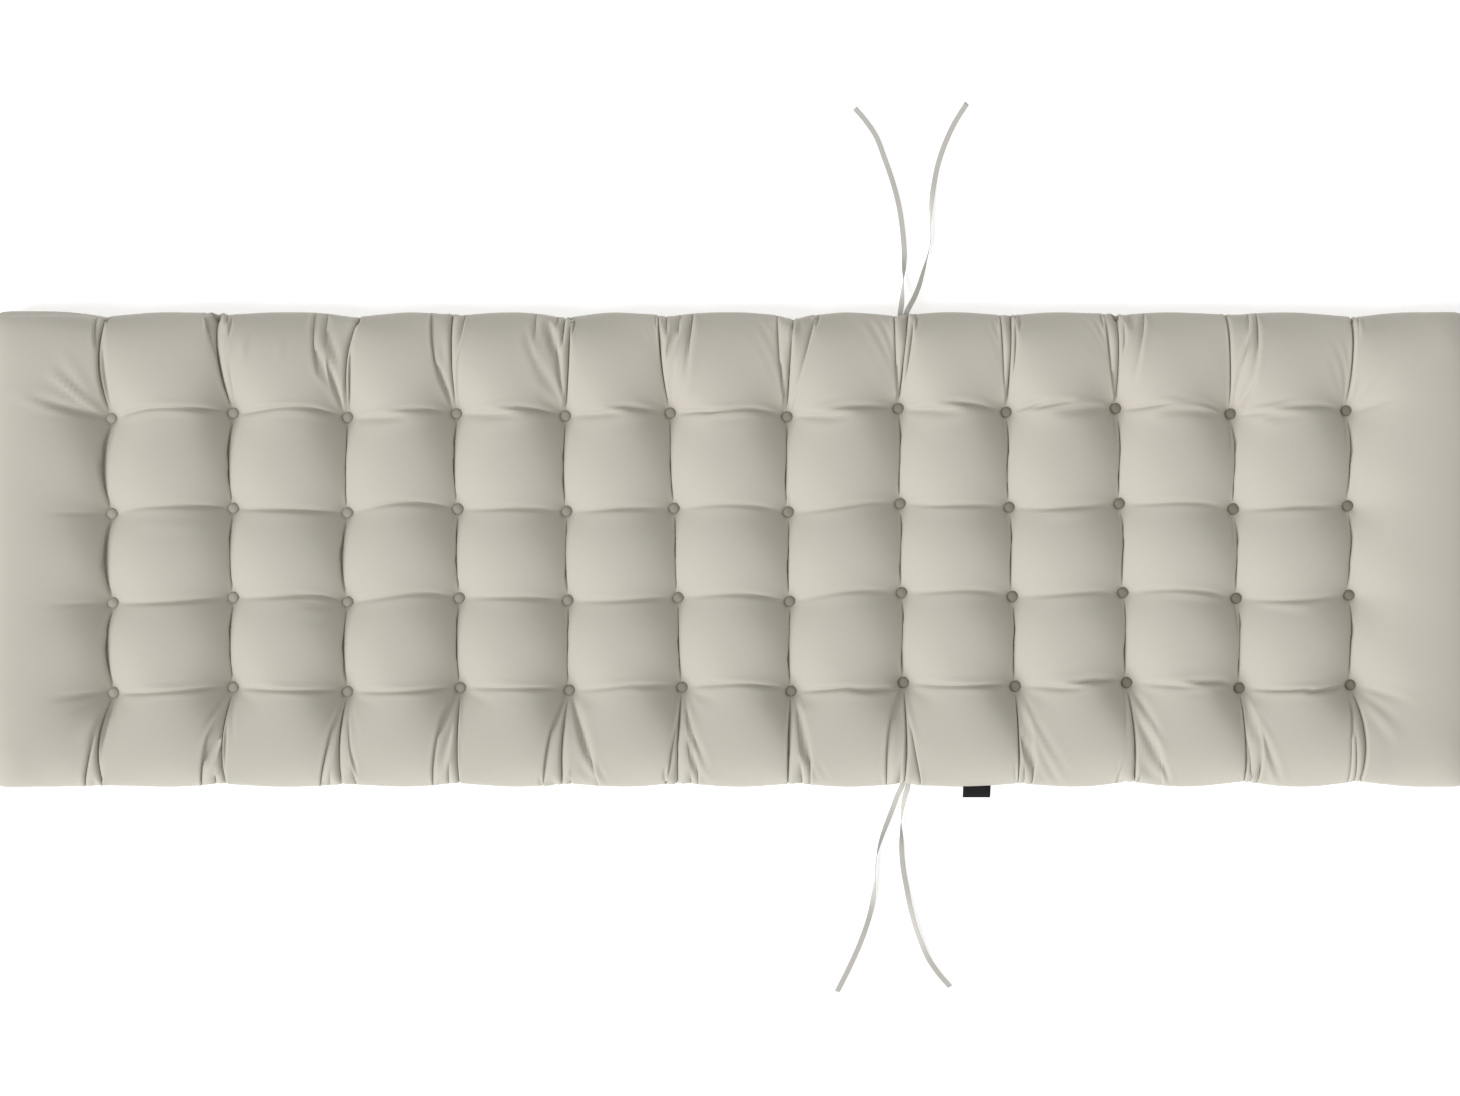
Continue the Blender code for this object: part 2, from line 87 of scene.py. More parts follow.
# The line where two puffs of a column meet, from each column to the next: how
# far it bows towards the far edge, where (0 to 1), and how hard it is drawn in
# at its left, middle and right.
ROW_FIELDS = ("bow", "peak", "left", "middle", "right")
ROW_LINES = (
    (  # row nearest the near edge
        (-2.0, 0.4, 1.2, 0.0, 0.9), (-1.5, 0.5, 0.4, 0.1, 1.0), (-2.5, 0.6, 0.4, 0.2, 1.1),
        (1.0, 0.5, 0.2, 0.0, 1.0), (5.0, 0.7, 0.5, 0.0, 0.8), (6.0, 0.5, 0.5, 0.0, 0.8),
        (-1.5, 0.35, 0.2, 0.0, 0.2), (-2.5, 0.35, 0.4, 0.0, 0.2), (-2.5, 0.5, 0.2, 0.0, 0.0),
        (-1.0, 0.5, 0.2, 0.0, 0.0), (-5.0, 0.45, 0.0, 0.0, 0.0),
    ),
    (
        (-1.5, 0.6, 1.2, 1.1, 1.6), (7.5, 0.7, 0.8, 1.2, 2.2), (9.0, 0.62, 0.9, 0.9, 1.4),
        (3.5, 0.4, 0.9, 0.9, 1.6), (-1.5, 0.35, 0.6, 0.9, 1.5), (8.5, 0.5, 0.6, 1.2, 1.8),
        (9.0, 0.5, 0.3, 1.1, 0.8), (7.5, 0.6, 0.6, 0.5, 1.0), (3.0, 0.7, 0.6, 0.9, 0.8),
        (9.0, 0.45, 0.6, 0.6, 1.0), (-5.0, 0.45, 0.4, 0.9, 0.6),
    ),
    (
        (8.5, 0.35, 1.0, 0.8, 2.0), (1.5, 0.5, 2.0, 2.4, 1.8), (11.0, 0.5, 0.8, 1.9, 2.1),
        (3.5, 0.6, 0.8, 1.2, 1.2), (2.0, 0.4, 0.8, 1.8, 1.1), (9.0, 0.5, 0.5, 0.8, 1.4),
        (4.5, 0.72, 0.6, 0.7, 1.4), (2.0, 0.8, 0.6, 1.1, 1.1), (-2.5, 0.4, 0.7, 1.2, 0.9),
        (7.0, 0.62, 0.7, 0.7, 0.9), (1.5, 0.4, 0.5, 1.4, 0.7),
    ),
    (  # row nearest the far edge
        (11.0, 0.38, 0.3, 0.5, 2.0), (11.5, 0.6, 0.6, 0.0, 1.5), (8.5, 0.5, 0.0, 0.0, 1.4),
        (12.0, 0.45, 0.0, 0.0, 1.4), (9.0, 0.4, 0.0, 0.0, 1.0), (9.5, 0.7, 0.0, 0.0, 0.7),
        (7.0, 0.6, 0.0, 0.0, 0.3), (10.5, 0.55, 0.0, 0.0, 0.4), (12.5, 0.72, 0.0, 0.0, 0.2),
        (12.0, 0.62, 0.0, 0.0, 0.2), (8.0, 0.72, 0.0, 0.0, 0.2),
    ),
)

# The tucks between each outer button and the sewn edge: where the foot meets
# the edge, counted from the column; how much spare cloth it takes, as a share;
# how far it reaches towards the button; and how far its middle bends sideways.
# The first of a column is where its puffs meet.
TUCK_FIELDS = ("foot", "share", "reach", "bend")
FAR_TUCKS = (
    ((-2, 0.66, 1.0, -8), (-16, 0.12, 0.3, 0)),
    ((-17, 0.50, 1.0, -5), (-4, 0.24, 0.24, 2), (-33, 0.12, 0.2, 0)),
    ((18, 0.60, 1.0, -7), (-40, 0.07, 0.6, -6), (-24, 0.10, 0.7, -6)),
    ((-4, 0.50, 1.0, -1), (13, 0.24, 0.30, -2), (-31, 0.12, 0.8, -6)),
    ((8, 0.34, 1.0, 2), (1, 0.26, 0.85, -3), (-9, 0.18, 0.7, -2), (-36, 0.09, 0.75, -4)),
    ((-15, 0.32, 1.0, -3), (-5, 0.26, 0.30, 0), (29, 0.28, 0.8, -3), (12, 0.08, 0.2, 0)),
    ((8, 0.42, 1.0, -1), (-13, 0.22, 0.8, -2), (36, 0.22, 0.9, -1)),
    ((11, 0.42, 1.0, -1), (-7, 0.26, 0.85, -1), (19, 0.20, 0.7, 1)),
    ((4, 0.46, 1.0, 0), (-10, 0.24, 0.85, -1), (10, 0.18, 0.6, 2)),
    ((-1, 0.46, 1.0, 1), (8, 0.16, 0.25, 2), (35, 0.20, 0.85, 0), (-17, 0.12, 0.9, -2)),
    ((-9, 0.48, 1.0, 0), (31, 0.28, 0.95, 4), (21, 0.14, 0.2, 0)),
    ((3, 0.80, 1.0, 0), (11, 0.14, 0.2, 1)),
)
NEAR_TUCKS = (
    ((-10, 0.46, 1.0, -8), (-34, 0.26, 0.7, 2)),
    ((-6, 0.44, 1.0, -5), (-38, 0.28, 0.5, -3), (-20, 0.18, 0.2, 2)),
    ((-5, 0.46, 1.0, -4), (13, 0.18, 0.28, -2), (-21, 0.12, 0.2, 0), (-33, 0.14, 0.6, 0)),
    ((0, 0.46, 1.0, -1), (-34, 0.22, 0.85, -5), (-14, 0.22, 0.32, -1)),
    ((-8, 0.54, 1.0, -3), (-32, 0.12, 0.8, -6), (38, 0.08, 0.8, -3), (3, 0.12, 0.12, 0)),
    ((-5, 0.34, 1.0, -2), (-19, 0.24, 0.38, 0), (12, 0.28, 0.3, 0), (21, 0.14, 0.65, 2)),
    ((-4, 0.38, 1.0, -2), (14, 0.24, 0.36, 0), (24, 0.26, 0.8, 5)),
    ((0, 0.40, 1.0, 2), (-22, 0.22, 0.95, -8), (22, 0.26, 0.7, -3), (-6, 0.12, 0.12, 0)),
    ((2, 0.46, 1.0, 0), (20, 0.38, 0.7, 6), (10, 0.08, 0.2, 0)),
    ((8, 0.60, 1.0, 1), (14, 0.14, 0.22, 0), (44, 0.03, 0.4, 3), (-14, 0.08, 0.15, 0)),
    ((3, 0.42, 1.0, 1), (12, 0.14, 0.2, 0), (21, 0.34, 0.8, 8)),
    ((8, 0.48, 1.0, 8), (2, 0.24, 0.5, -2), (-6, 0.12, 0.7, -1)),
)
TUCK_THREADS = (4, 9, 3.6)  # threads between two tucks: fewest, most, and millimetres of edge for each

# How far each column draws the long edges in, and where from the column
NOTCH_FIELDS = ("far", "far_at", "near", "near_at")
NOTCHES = (
    (7.0, -4, 3.0, -4), (4.5, -8, 6.5, -10), (8.5, 14, 5.0, 0), (4.5, 4, 7.0, 0),
    (8.5, 2, 5.0, 0), (6.5, -8, 7.5, 0), (10.5, 10, 7.0, 4), (6.5, -2, 5.5, 0),
    (6.0, -1, 6.0, 6), (5.0, -1, 8.0, 4), (5.5, -6, 9.0, 4), (9.0, 2, 10.0, 10),
)

# Small loose folds lying over the puffs: from, to, width and height
FOLD_FIELDS = ("x0", "y0", "x1", "y1", "width", "height")
FOLDS = (
    (-852, 223, -792, 172, 4.6, 5.0),
    (-838, 250, -792, 182, 7.0, 1.4),
    (-752, 30, -650, 27, 6.0, 1.1),
    (-560, 262, -562, 240, 4.5, 1.0),
    (-608, 268, -610, 238, 5.0, 1.0),
    (-816, -242, -786, -196, 7.0, 1.8),
    (-540, -56, -492, -66, 6.0, 1.5),
    (-545, -78, -490, -78, 6.0, 1.2),
    (540, -50, 632, -61, 6.5, 1.4),
    (662, -66, 735, -73, 6.0, 1.5),
    (800, -190, 838, -240, 7.5, 1.8),
    (400, 40, 445, 47, 6.0, 1.0),
    (150, 58, 205, 62, 6.0, 1.2),
    (520, -196, 548, -262, 7.0, 1.3),
    (-186, -200, -166, -262, 7.0, 1.2),
)

# The filling is spent at this height, and pushes less over the last of it
FULL_Z = 66.0
FULL_SPAN = 8.0

# Cloth for each stretch of the plan: along the length at the sewn edge, at a
# row of buttons and between rows; then across the width
CUT = 1.18
CUT_ROW = 1.065
CUT_MIDDLE = 1.16
ROW_LOOSE = (0.055, 0.0, 0.0, 0.06)  # how much looser each row is all along
ROW_EASE = (0.045, 0.018, 0.02, 0.045)  # how much looser each row is halfway between buttons
SPARE_ALONG = 1.03
ROW_ROUND = 1.9  # over 1, the cloth dips round into each row of buttons
ROW_GRIP = 0.02
ROW_GRIP_REACH = 3.2
ROW_GROOVE = 2.0  # millimetres deeper for each step of grip past ROW_PLAIN
ROW_PLAIN = 0.7
ROW_FADE = (90.0, 42.0)  # how far past the end columns the rows still show
TUCKED = 0.97  # share of the spare cloth that the tucks take up
END_SPARE = 15.0
END_KEPT = 75.0
SIDE_SPARE = 14.5


def smooth(t):
    t = np.clip(t, 0, 1)
    return t * t * (3 - 2 * t)


def spread(n, crowd):
    """n parts of one stretch, crowded towards both of its ends."""
    q = np.arange(n) / n
    return q - crowd * np.sin(2 * np.pi * q) / (2 * np.pi)


def rounded(x, y):
    """Draws the four corners of the plan round."""
    ox = (np.abs(x) - (HALF_LENGTH - CORNER_RADIUS)) / CORNER_RADIUS
    oy = (np.abs(y) - (HALF_WIDTH - CORNER_RADIUS)) / CORNER_RADIUS
    both = (ox > 0) & (oy > 0)
    ox, oy = np.clip(ox, 0, 1.2), np.clip(oy, 0, 1.2)
    mx, my = np.minimum(ox, 1), np.minimum(oy, 1)
    rx = ox * np.sqrt(1 - my**2 / 2)
    ry = oy * np.sqrt(1 - mx**2 / 2)
    return (
        np.where(both, np.sign(x) * (HALF_LENGTH - CORNER_RADIUS + rx * CORNER_RADIUS), x),
        np.where(both, np.sign(y) * (HALF_WIDTH - CORNER_RADIUS + ry * CORNER_RADIUS), y),
    )


def column_x(k, b):
    """x of column line k (1 to 12; 0 and 13 are the ends) at b rows from the near edge."""
    b = np.asarray(b, float)
    if k == 0:
        return np.full_like(b, -HALF_LENGTH)
    if k == N_COL + 1:
        return np.full_like(b, HALF_LENGTH)
    c = COLUMN[k - 1]
    x = c["x"] - c["lean"] * (np.clip((b - 1) / (N_ROW - 1), 0, 1) - 0.5)
    for m, bow in ((1, "bow_near"), (2, "bow_middle"), (3, "bow_far")):
        t = np.clip(b - m, 0, 1)
        x = x + c[bow] * np.sin(np.pi * t) - c["sway"] * np.sin(2 * np.pi * t)
        x = x + np.sin(np.pi * t) * (WOBBLE * np.sin(19.0 * b + 2.3 * k) + 0.6 * WOBBLE * np.sin(29.0 * b + 4.1 * k))
    return x


def row_y(m, a):
    """y of row line m (1 to 4) at a columns from the left end."""
    a = np.asarray(a, float)
    dy = [COLUMN[0]["dy"]] + [c["dy"] for c in COLUMN] + [COLUMN[-1]["dy"]]
    y = ROWS_Y[m - 1] + np.interp(a, np.arange(N_COL + 2), dy)
    for k, (bow, peak, *_) in enumerate(ROW_LINES[m - 1], 1):
        t = np.clip(a - k, 0, 1) ** (math.log(0.5) / math.log(peak))
        y = y + bow * np.clip(np.sin(np.pi * t), 0, 1) ** 0.8
    return y


def edge_line(x, near):
    """Half the width at x: the long edge in plan, drawn in at each column."""
    side = "near" if near else "far"
    b = 1.0 if near else float(N_ROW)
    at = [float(column_x(k, b)) for k in range(N_COL + 2)]
    drawn = np.zeros(np.shape(x))
    for k, row in enumerate(NOTCHES, 1):
        notch = dict(zip(NOTCH_FIELDS, row))
        d = x - at[k] - notch[side + "_at"]
        reach = np.where(d < 0, at[k] - at[k - 1], at[k + 1] - at[k]) * 0.5
        drawn = np.maximum(drawn, notch[side] * (1 - np.clip(np.abs(d) / reach, 0, 1)) ** 2)
    return HALF_WIDTH - drawn


def seam_height(x, near):
    """The sewn edge wanders a little up and down."""
    if near:
        return SEAM_Z + 1.5 * np.sin(x / 130.0 + 0.6) + 1.0 * np.sin(x / 57.0)
    return SEAM_Z + 1.5 * np.sin(x / 150.0) + 1.0 * np.sin(x / 49.0 + 2.0) + 5.0 * seam_inset(x)


def seam_inset(x):
    """At the left of the far edge the seam lies further in and the under panel shows past it."""
    return smooth((-x - 770.0) / 70.0) * smooth((x + HALF_LENGTH) / 20.0)


class Cloth:
    """A grid of canvas with threads both ways. P holds its points, U and V their places on the flat cloth, slack how much longer or shorter the lengthwise and crosswise threads are than that. It doesn't resist bending where folds is true, and where shaped is 1 it is cut to the form it starts in."""

    def __init__(self, P, U, V, slack_u, slack_v, fixed, folds, shaped, stiff=0.03, squeeze=0.25):
        self.P = P.astype(np.float32)
        self.free = (~fixed).astype(np.float32)
        self.U, self.V, self.slack = U, V, (slack_u, slack_v)
        self.passes = []
        self.bends = (~folds).astype(np.float32)
        self.start, self.shaped = P, shaped
        ny, nx = fixed.shape
        for odd in (0, 1):
            self.add(odd, nx - 1, 2, 1, 0, ny, 1, 0, 1.0, squeeze)
            self.add(0, nx, 1, 0, odd, ny - 1, 2, 1, 1.0, squeeze)
            for row in (0, 1):
                self.add(odd, nx - 1, 2, 1, row, ny - 1, 2, 1, 0.5, squeeze / 2)
                self.add(odd, nx - 1, 2, 1, row, ny - 1, 2, 1, 0.5, squeeze / 2, cross=True)
        for start in range(4):
            self.add(start, nx - 2, 4, 2, 0, ny, 1, 0, 0.0, stiff)
            self.add(0, nx, 1, 0, start, ny - 2, 4, 2, 0.0, stiff)
        du = np.zeros((ny, nx)); dv = np.zeros((ny, nx))
        du[:, 1:-1] = U[:, 2:] - U[:, :-2]; du[:, 0] = U[:, 1] - U[:, 0]; du[:, -1] = U[:, -1] - U[:, -2]
        dv[1:-1] = V[2:] - V[:-2]; dv[0] = V[1] - V[0]; dv[-1] = V[-1] - V[-2]
        self.du, self.dv = du.astype(np.float32), dv.astype(np.float32)

    def add(self, x0, x1, xs, dx, y0, y1, ys, dy, pull, push, cross=False):
        """One set of threads that share no point: from (x0, y0) by steps (xs, ys), each over (dx, dy) of the grid."""
        ix, iy = np.arange(x0, x1, xs), np.arange(y0, y1, ys)
        if not len(ix) or not len(iy):
            return
        def part(ox, oy):
            return (slice(iy[0] + oy, iy[-1] + oy + 1, ys), slice(ix[0] + ox, ix[-1] + ox + 1, xs))
        a, b = (part(0, dy), part(dx, 0)) if cross else (part(0, 0), part(dx, dy))
        su = (self.slack[0][a] + self.slack[0][b]) / 2
        sv = (self.slack[1][a] + self.slack[1][b]) / 2
        rest = np.hypot((self.U[b] - self.U[a]) * su, (self.V[b] - self.V[a]) * sv)
        made = np.linalg.norm(self.start[(slice(None), *b)] - self.start[(slice(None), *a)], axis=0)
        shaped = (self.shaped[a] + self.shaped[b]) / 2
        rest = (rest + (made - rest) * shaped).astype(np.float32)
        fa, fb = self.free[a], self.free[b]
        total = fa + fb
        total[total == 0] = 1
        push = np.float32(push)
        if dx == 2:
            push = push * self.bends[part(1, 0)]
        self.passes.append((a, b, rest, fa / total, fb / total, np.float32(pull), push))

    def sweep(self):
        for a, b, rest, wa, wb, pull, push in self.passes:
            A, B = self.P[(slice(None), *a)], self.P[(slice(None), *b)]
            d = B - A
            length = np.sqrt(np.einsum("kij,kij->ij", d, d)) + np.float32(1e-6)
            off = (length - rest) / length
            off *= np.where(off > 0, pull, push)
            A += d * (off * wa)
            B -= d * (off * wb)

    def normals(self):
        P = self.P
        gx, gy = np.empty_like(P), np.empty_like(P)
        gx[:, :, 1:-1] = P[:, :, 2:] - P[:, :, :-2]
        gx[:, :, 0] = P[:, :, 1] - P[:, :, 0]
        gx[:, :, -1] = P[:, :, -1] - P[:, :, -2]
        gy[:, 1:-1] = P[:, 2:] - P[:, :-2]
        gy[:, 0] = P[:, 1] - P[:, 0]
        gy[:, -1] = P[:, -1] - P[:, -2]
        gx /= self.du
        gy /= self.dv
        return np.stack([
            gx[1] * gy[2] - gx[2] * gy[1],
            gx[2] * gy[0] - gx[0] * gy[2],
            gx[0] * gy[1] - gx[1] * gy[0],
        ])

    def relax(self, steps, push, keep, limit):
        """steps of settling: push is the filling's pressure, keep the share of speed kept, limit a function that holds points back."""
        before = self.P.copy()
        for _ in range(steps):
            now = self.P.copy()
            self.P += (now - before) * np.float32(keep) * self.free
            full = np.clip((FULL_Z - self.P[2]) / FULL_SPAN, 0.03, 1.0)
            self.P += self.normals() * (np.float32(push) * self.free * full)
            before = now
            self.sweep()
            limit(self.P)
        return self.P


# ---------------------------------------------------------------- top panel

def canvas_lines(x_lines, cut, end_spare):
    """Places on the flat canvas of lines drawn on the plan."""
    plan = np.diff(x_lines)
    cloth = plan * cut
    for e in (0, -1):
        cloth[e] = plan[e] + end_spare
    return np.concatenate([[0], np.cumsum(cloth)])


def rim_arc(across, up, plan):
    """Coming in from the edge over a rounded rim, then level for the rest of plan: lengths of cloth, distance in, height (0 to 1)."""
    th = np.linspace(0, np.pi / 2, 60)
    d = np.append(across * (1 - np.cos(th)), plan)
    h = np.append(np.sin(th), 1.0)
    run = np.concatenate([[0], np.cumsum(np.hypot(np.diff(d), np.diff(h) * up))])
    return run / run[-1], d / plan, h


def tucks_of(near, U_col, col_i, U_row, X_row):
    """The tucks of one long edge, column by column, each with the thread it follows, and the places between columns where no cloth is taken: (thread, canvas, plan). Canvas is shared out from the middle of one puff to the middle of the next, so the threads of the puffs stay straight."""
    b = 1.0 if near else float(N_ROW)
    at = [float(column_x(k, b)) for k in range(N_COL + 2)]
    # past these two threads the cloth goes round the ends as it does at the row
    ends = [int(np.argmin(np.abs(X_row - x))) for x in (-HALF_LENGTH + END_KEPT, HALF_LENGTH - END_KEPT)]
    left, right = [(i, U_row[i], X_row[i]) for i in ends]
    middle = [left] + [
        ((col_i[k - 1] + col_i[k]) // 2, (U_col[k] + U_col[k + 1]) / 2, (at[k] + at[k + 1]) / 2) for k in range(1, N_COL)
    ] + [right]
    columns = []
    for k in range(1, N_COL + 1):
        rows = [dict(zip(TUCK_FIELDS, row)) for row in (NEAR_TUCKS if near else FAR_TUCKS)[k - 1]]
        first = rows[0]
        rows.sort(key=lambda row: row["foot"])
        fewest, most, each = TUCK_THREADS
        line = [0]
        for one, other in zip(rows, rows[1:]):
            line.append(line[-1] + int(np.clip(round((other["foot"] - one["foot"]) / each), fewest, most)))
        main = rows.index(first)
        for n, row in enumerate(rows):
            row["x"] = at[k] + row["foot"]
            row["line"] = col_i[k - 1] + line[n] - line[main]
            row["gap"] = TUCK_GAP[0] + TUCK_GAP[1] * row["share"]
            row["main"] = n == main
        columns.append(rows)
    return columns, middle


def fanned(columns, middle, U_row, X_row, canvas_out, plan_out):
    """One row of the grid between the outer buttons (out 0) and the sewn edge (out 1), its threads fanned out along the tucks: places on the canvas and in plan, and how deep each thread lies in its fold."""
    knots = [(i, u, x, 0.0) for i, u, x in middle]
    folded = []
    for k, tucks in enumerate(columns):
        (_, u, x), (_, u1, x1) = middle[k], middle[k + 1]
        spare = TUCKED * ((u1 - u) - (x1 - x))
        ease = ((u1 - u) - spare) / (x1 - x)
        whole = sum(t["share"] for t in tucks)
        # each takes its share from where it starts; the main tuck takes the rest
        folds = [0.0 if t["main"] else t["share"] / whole * max(0.0, (plan_out - 1 + t["reach"]) / t["reach"]) for t in tucks]
        for n, t in enumerate(tucks):
            if t["main"]:
                folds[n] = max(canvas_out - sum(folds), 0.0)
        for t, fold in zip(tucks, folds):
            half = fold * spare / 2
            at_edge = half / max(canvas_out, 1e-3)
            u += (t["x"] - x) * ease + at_edge
            x = t["x"]
            knots += [(t["line"] + d, u + d * at_edge, x + d * t["gap"], t["bend"]) for d in (-1, 0, 1)]
            u += at_edge
            folded.append((t, half))
    line, u, x, bend = (np.array(c, float) for c in zip(*sorted(knots)))
    base = U_row[line.astype(int)]
    past = (np.arange(len(U_row)) < line[0]) | (np.arange(len(U_row)) > line[-1])
    U = (1 - canvas_out) * U_row + canvas_out * np.where(past, U_row, np.interp(U_row, base, u))
    X = (1 - plan_out) * X_row + plan_out * np.where(past, X_row, np.interp(U_row, base, x))
    sag = np.interp(U_row, base, bend) * math.sin(math.pi * plan_out)
    U, X = U + sag, X + sag
    deep = np.zeros_like(U)
    for t, half in folded:
        i = t["line"]
        shut = float(smooth(half / 1.2))
        for d in (-1, 1):
            u_gap = max((1 - canvas_out) * abs(U_row[i + d] - U_row[i]) + half, 0.9)
            U[i + d] = U[i] + d * u_gap
            X[i + d] = X[i] + d * (t["gap"] * shut + u_gap * 0.95 * (1 - shut))
        deep[i] = half
    return U, X, deep


def top_panel(per_cell, per_end, per_row, per_side):
    """The settled top panel: its points (3, rows, columns) in millimetres, their places on the flat canvas, and the seam's line without its tucks."""
    pitch = np.array([-HALF_LENGTH] + [c["x"] for c in COLUMN] + [HALF_LENGTH])
    rows = np.array([-HALF_WIDTH, *ROWS_Y, HALF_WIDTH])
    crease = (CUT - 1) * np.diff(pitch)[1:-1].mean()
    U_col = canvas_lines(pitch, CUT, END_SPARE + crease / 2)
    V_row = canvas_lines(rows, SPARE_ALONG, SIDE_SPARE)

    q, a_cell = [], []
    for k in range(N_COL + 1):
        n = per_end if k in (0, N_COL) else per_cell
        q.append(spread(n, 0.5 if k in (0, N_COL) else 0.62))
        a_cell.append(np.full(n, k))
    qu = np.append(np.concatenate(q), 1.0)
    a_cell = np.append(np.concatenate(a_cell), N_COL)
    q, b_cell = [], []
    for m in range(N_ROW + 1):
        n = per_side if m in (0, N_ROW) else per_row
        q.append(spread(n, 0.3 if m in (0, N_ROW) else 0.55))
        b_cell.append(np.full(n, m))
    qv = np.append(np.concatenate(q), 1.0)
    b_cell = np.append(np.concatenate(b_cell), N_ROW)
    nx, ny = len(qu), len(qv)

    # First guess across each puff: an arch by equal lengths of cloth
    th = np.linspace(0, np.pi, 400)
    s_th, h_th = 0.5 - 0.5 * np.cos(th), np.sin(th) ** 0.9
    run = np.concatenate([[0], np.cumsum(np.hypot(np.diff(s_th) * 142, np.diff(h_th) * 32))])
    s, h = np.interp(qu, run / run[-1], s_th), np.interp(qu, run / run[-1], h_th)
    for k in (0, N_COL):
        at = a_cell == k
        q = qu[at] if k == 0 else 1 - qu[at]  # 0 at the end, 1 at the column
        plan = pitch[k + 1] - pitch[k]
        th = np.linspace(0, np.pi / 2, 60)
        d = np.append(62 * (1 - np.cos(th)), plan - 71 + 71 * np.sin(th))
        hh = np.append(np.sin(th), np.cos(th) ** 0.9)
        run = np.concatenate([[0], np.cumsum(np.hypot(np.diff(d), np.diff(hh) * 32))])
        dd, hh = np.interp(q, run / run[-1], d) / plan, np.interp(q, run / run[-1], hh)
        s[at], h[at] = (dd if k == 0 else 1 - dd), hh
    a = a_cell + s
    t, rim = qv.copy(), np.ones(ny)
    for m in (0, N_ROW):
        at = b_cell == m
        q = qv[at] if m == 0 else 1 - qv[at]
        run, d, hh = rim_arc(SIDE_ROUND, SIDE_CLIMB, abs(rows[m + 1] - rows[m]))
        dd = np.interp(q, run, d)
        t[at], rim[at] = (dd if m == 0 else 1 - dd), np.interp(q, run, hh)
    b = b_cell + t
    A, B = np.meshgrid(a, b)

    # Places on the flat canvas: the lines of the buttons and creases are
    # marked on it where they come in plan, so the threads run true
    U, V = np.zeros((ny, nx)), np.zeros((ny, nx))
    b_in = np.clip(b, 1, N_ROW)
    lines_u = [U_col[k] + CUT * (column_x(k, b_in) - pitch[k]) for k in range(N_COL + 2)]
    lines_v = [V_row[m] + (SPARE_ALONG * (row_y(m, a) - ROWS_Y[m - 1]) if 0 < m <= N_ROW else 0 * a) for m in range(N_ROW + 2)]
    for k in range(N_COL + 1):
        at = a_cell == k
        U[:, at] = lines_u[k][:, None] * (1 - qu[at]) + lines_u[k + 1][:, None] * qu[at]
    for m in range(N_ROW + 1):
        at = b_cell == m
        V[at] = lines_v[m] * (1 - qv[at])[:, None] + lines_v[m + 1] * qv[at][:, None]

    X = np.zeros((ny, nx))
    for k in range(N_COL + 1):
        at = a_cell == k
        left, right = column_x(k, B[:, at]), column_x(k + 1, B[:, at])
        X[:, at] = left * (1 - s[at]) + right * s[at]

    # Outside the outer buttons the threads fan out along the tucks
    col_i = [int(np.nonzero(a_cell == k)[0][0]) for k in range(1, N_COL + 1)]
    row_j = [int(np.nonzero(b_cell == m)[0][0]) for m in range(1, N_ROW + 1)]
    Y, deep, out = np.zeros((ny, nx)), np.zeros((ny, nx)), np.zeros(ny)
    tucks = {near: tucks_of(near, U_col, col_i, U[row_j[0 if near else -1]], X[row_j[0 if near else -1]]) for near in (False, True)}
    for near, rows_out in ((True, range(row_j[0])), (False, range(row_j[-1] + 1, ny))):
        at = row_j[0 if near else -1]
        U_row, X_row = U[at].copy(), X[at].copy()
        for j in rows_out:
            canvas_out = 1 - qv[j] if near else (qv[j] if j < ny - 1 else 1.0)
            out[j] = 1 - b[j] if near else b[j] - N_ROW
            U[j], X[j], deep[j] = fanned(*tucks[near], U_row, X_row, canvas_out, out[j])
    out = out[:, None]
    edge_y = {True: -edge_line(X, True), False: edge_line(X, False) - 5.0 * seam_inset(X)}
    for m in range(N_ROW + 1):
        at = b_cell == m
        low = edge_y[True][at] if m == 0 else row_y(m, A[at])
        high = edge_y[False][at] if m == N_ROW else row_y(m + 1, A[at])
        Y[at] = low * (1 - t[at])[:, None] + high * t[at][:, None]
    tb = np.clip(np.where(B < 1, 0.5 + 0.5 * B, np.where(B > N_ROW, 0.5 + 0.5 * (N_ROW + 1 - B), B % 1.0)), 0, 1)
    wave = np.sin(np.pi * tb)
    inner = (B >= 1) & (B <= N_ROW)
    trough = BUTTON_Z + (np.where(inner, 34.0, 37.0) - BUTTON_Z) * wave**0.8
    ridge = 51.0 + 9.0 * wave**0.7
    Z = trough + (ridge - trough) * h
    rise_x = np.sqrt(np.clip(1 - (1 - np.clip((HALF_LENGTH - np.abs(X)) / 62.0, 0, 1)) ** 2, 0, 1))
    seam_z = np.where(B > 2.5, seam_height(X, False), seam_height(X, True))
    Z = seam_z + (Z - seam_z) * rise_x * rim[:, None]
    clean = np.stack([*rounded(X, Y), Z])  # the seam before the tucks are folded in
    Z = Z - deep * (1 - out**2)
    Y = Y - np.sign(Y) * deep * out**2
    X, Y = rounded(X, Y)

    # What holds it: the sewn edge and the buttons
    fixed = np.zeros((ny, nx), bool)
    fixed[0] = fixed[-1] = True
    fixed[:, 0] = fixed[:, -1] = True
    beside = []
    for k in range(1, N_COL + 1):
        for m in range(1, N_ROW + 1):
            bx, by = button_at(k, m)
            i, j = col_i[k - 1], row_j[m - 1]
            u, v = U[j, i], V[j, i]
            at = np.hypot(U - u, V - v) < PIN_RADIUS
            fixed |= at
            X[at], Y[at], Z[at] = bx + U[at] - u, by + V[at] - v, BUTTON_Z
            beside.append((slice(j - 8, j + 9), slice(i - 14, i + 15), np.float32(bx), np.float32(by)))

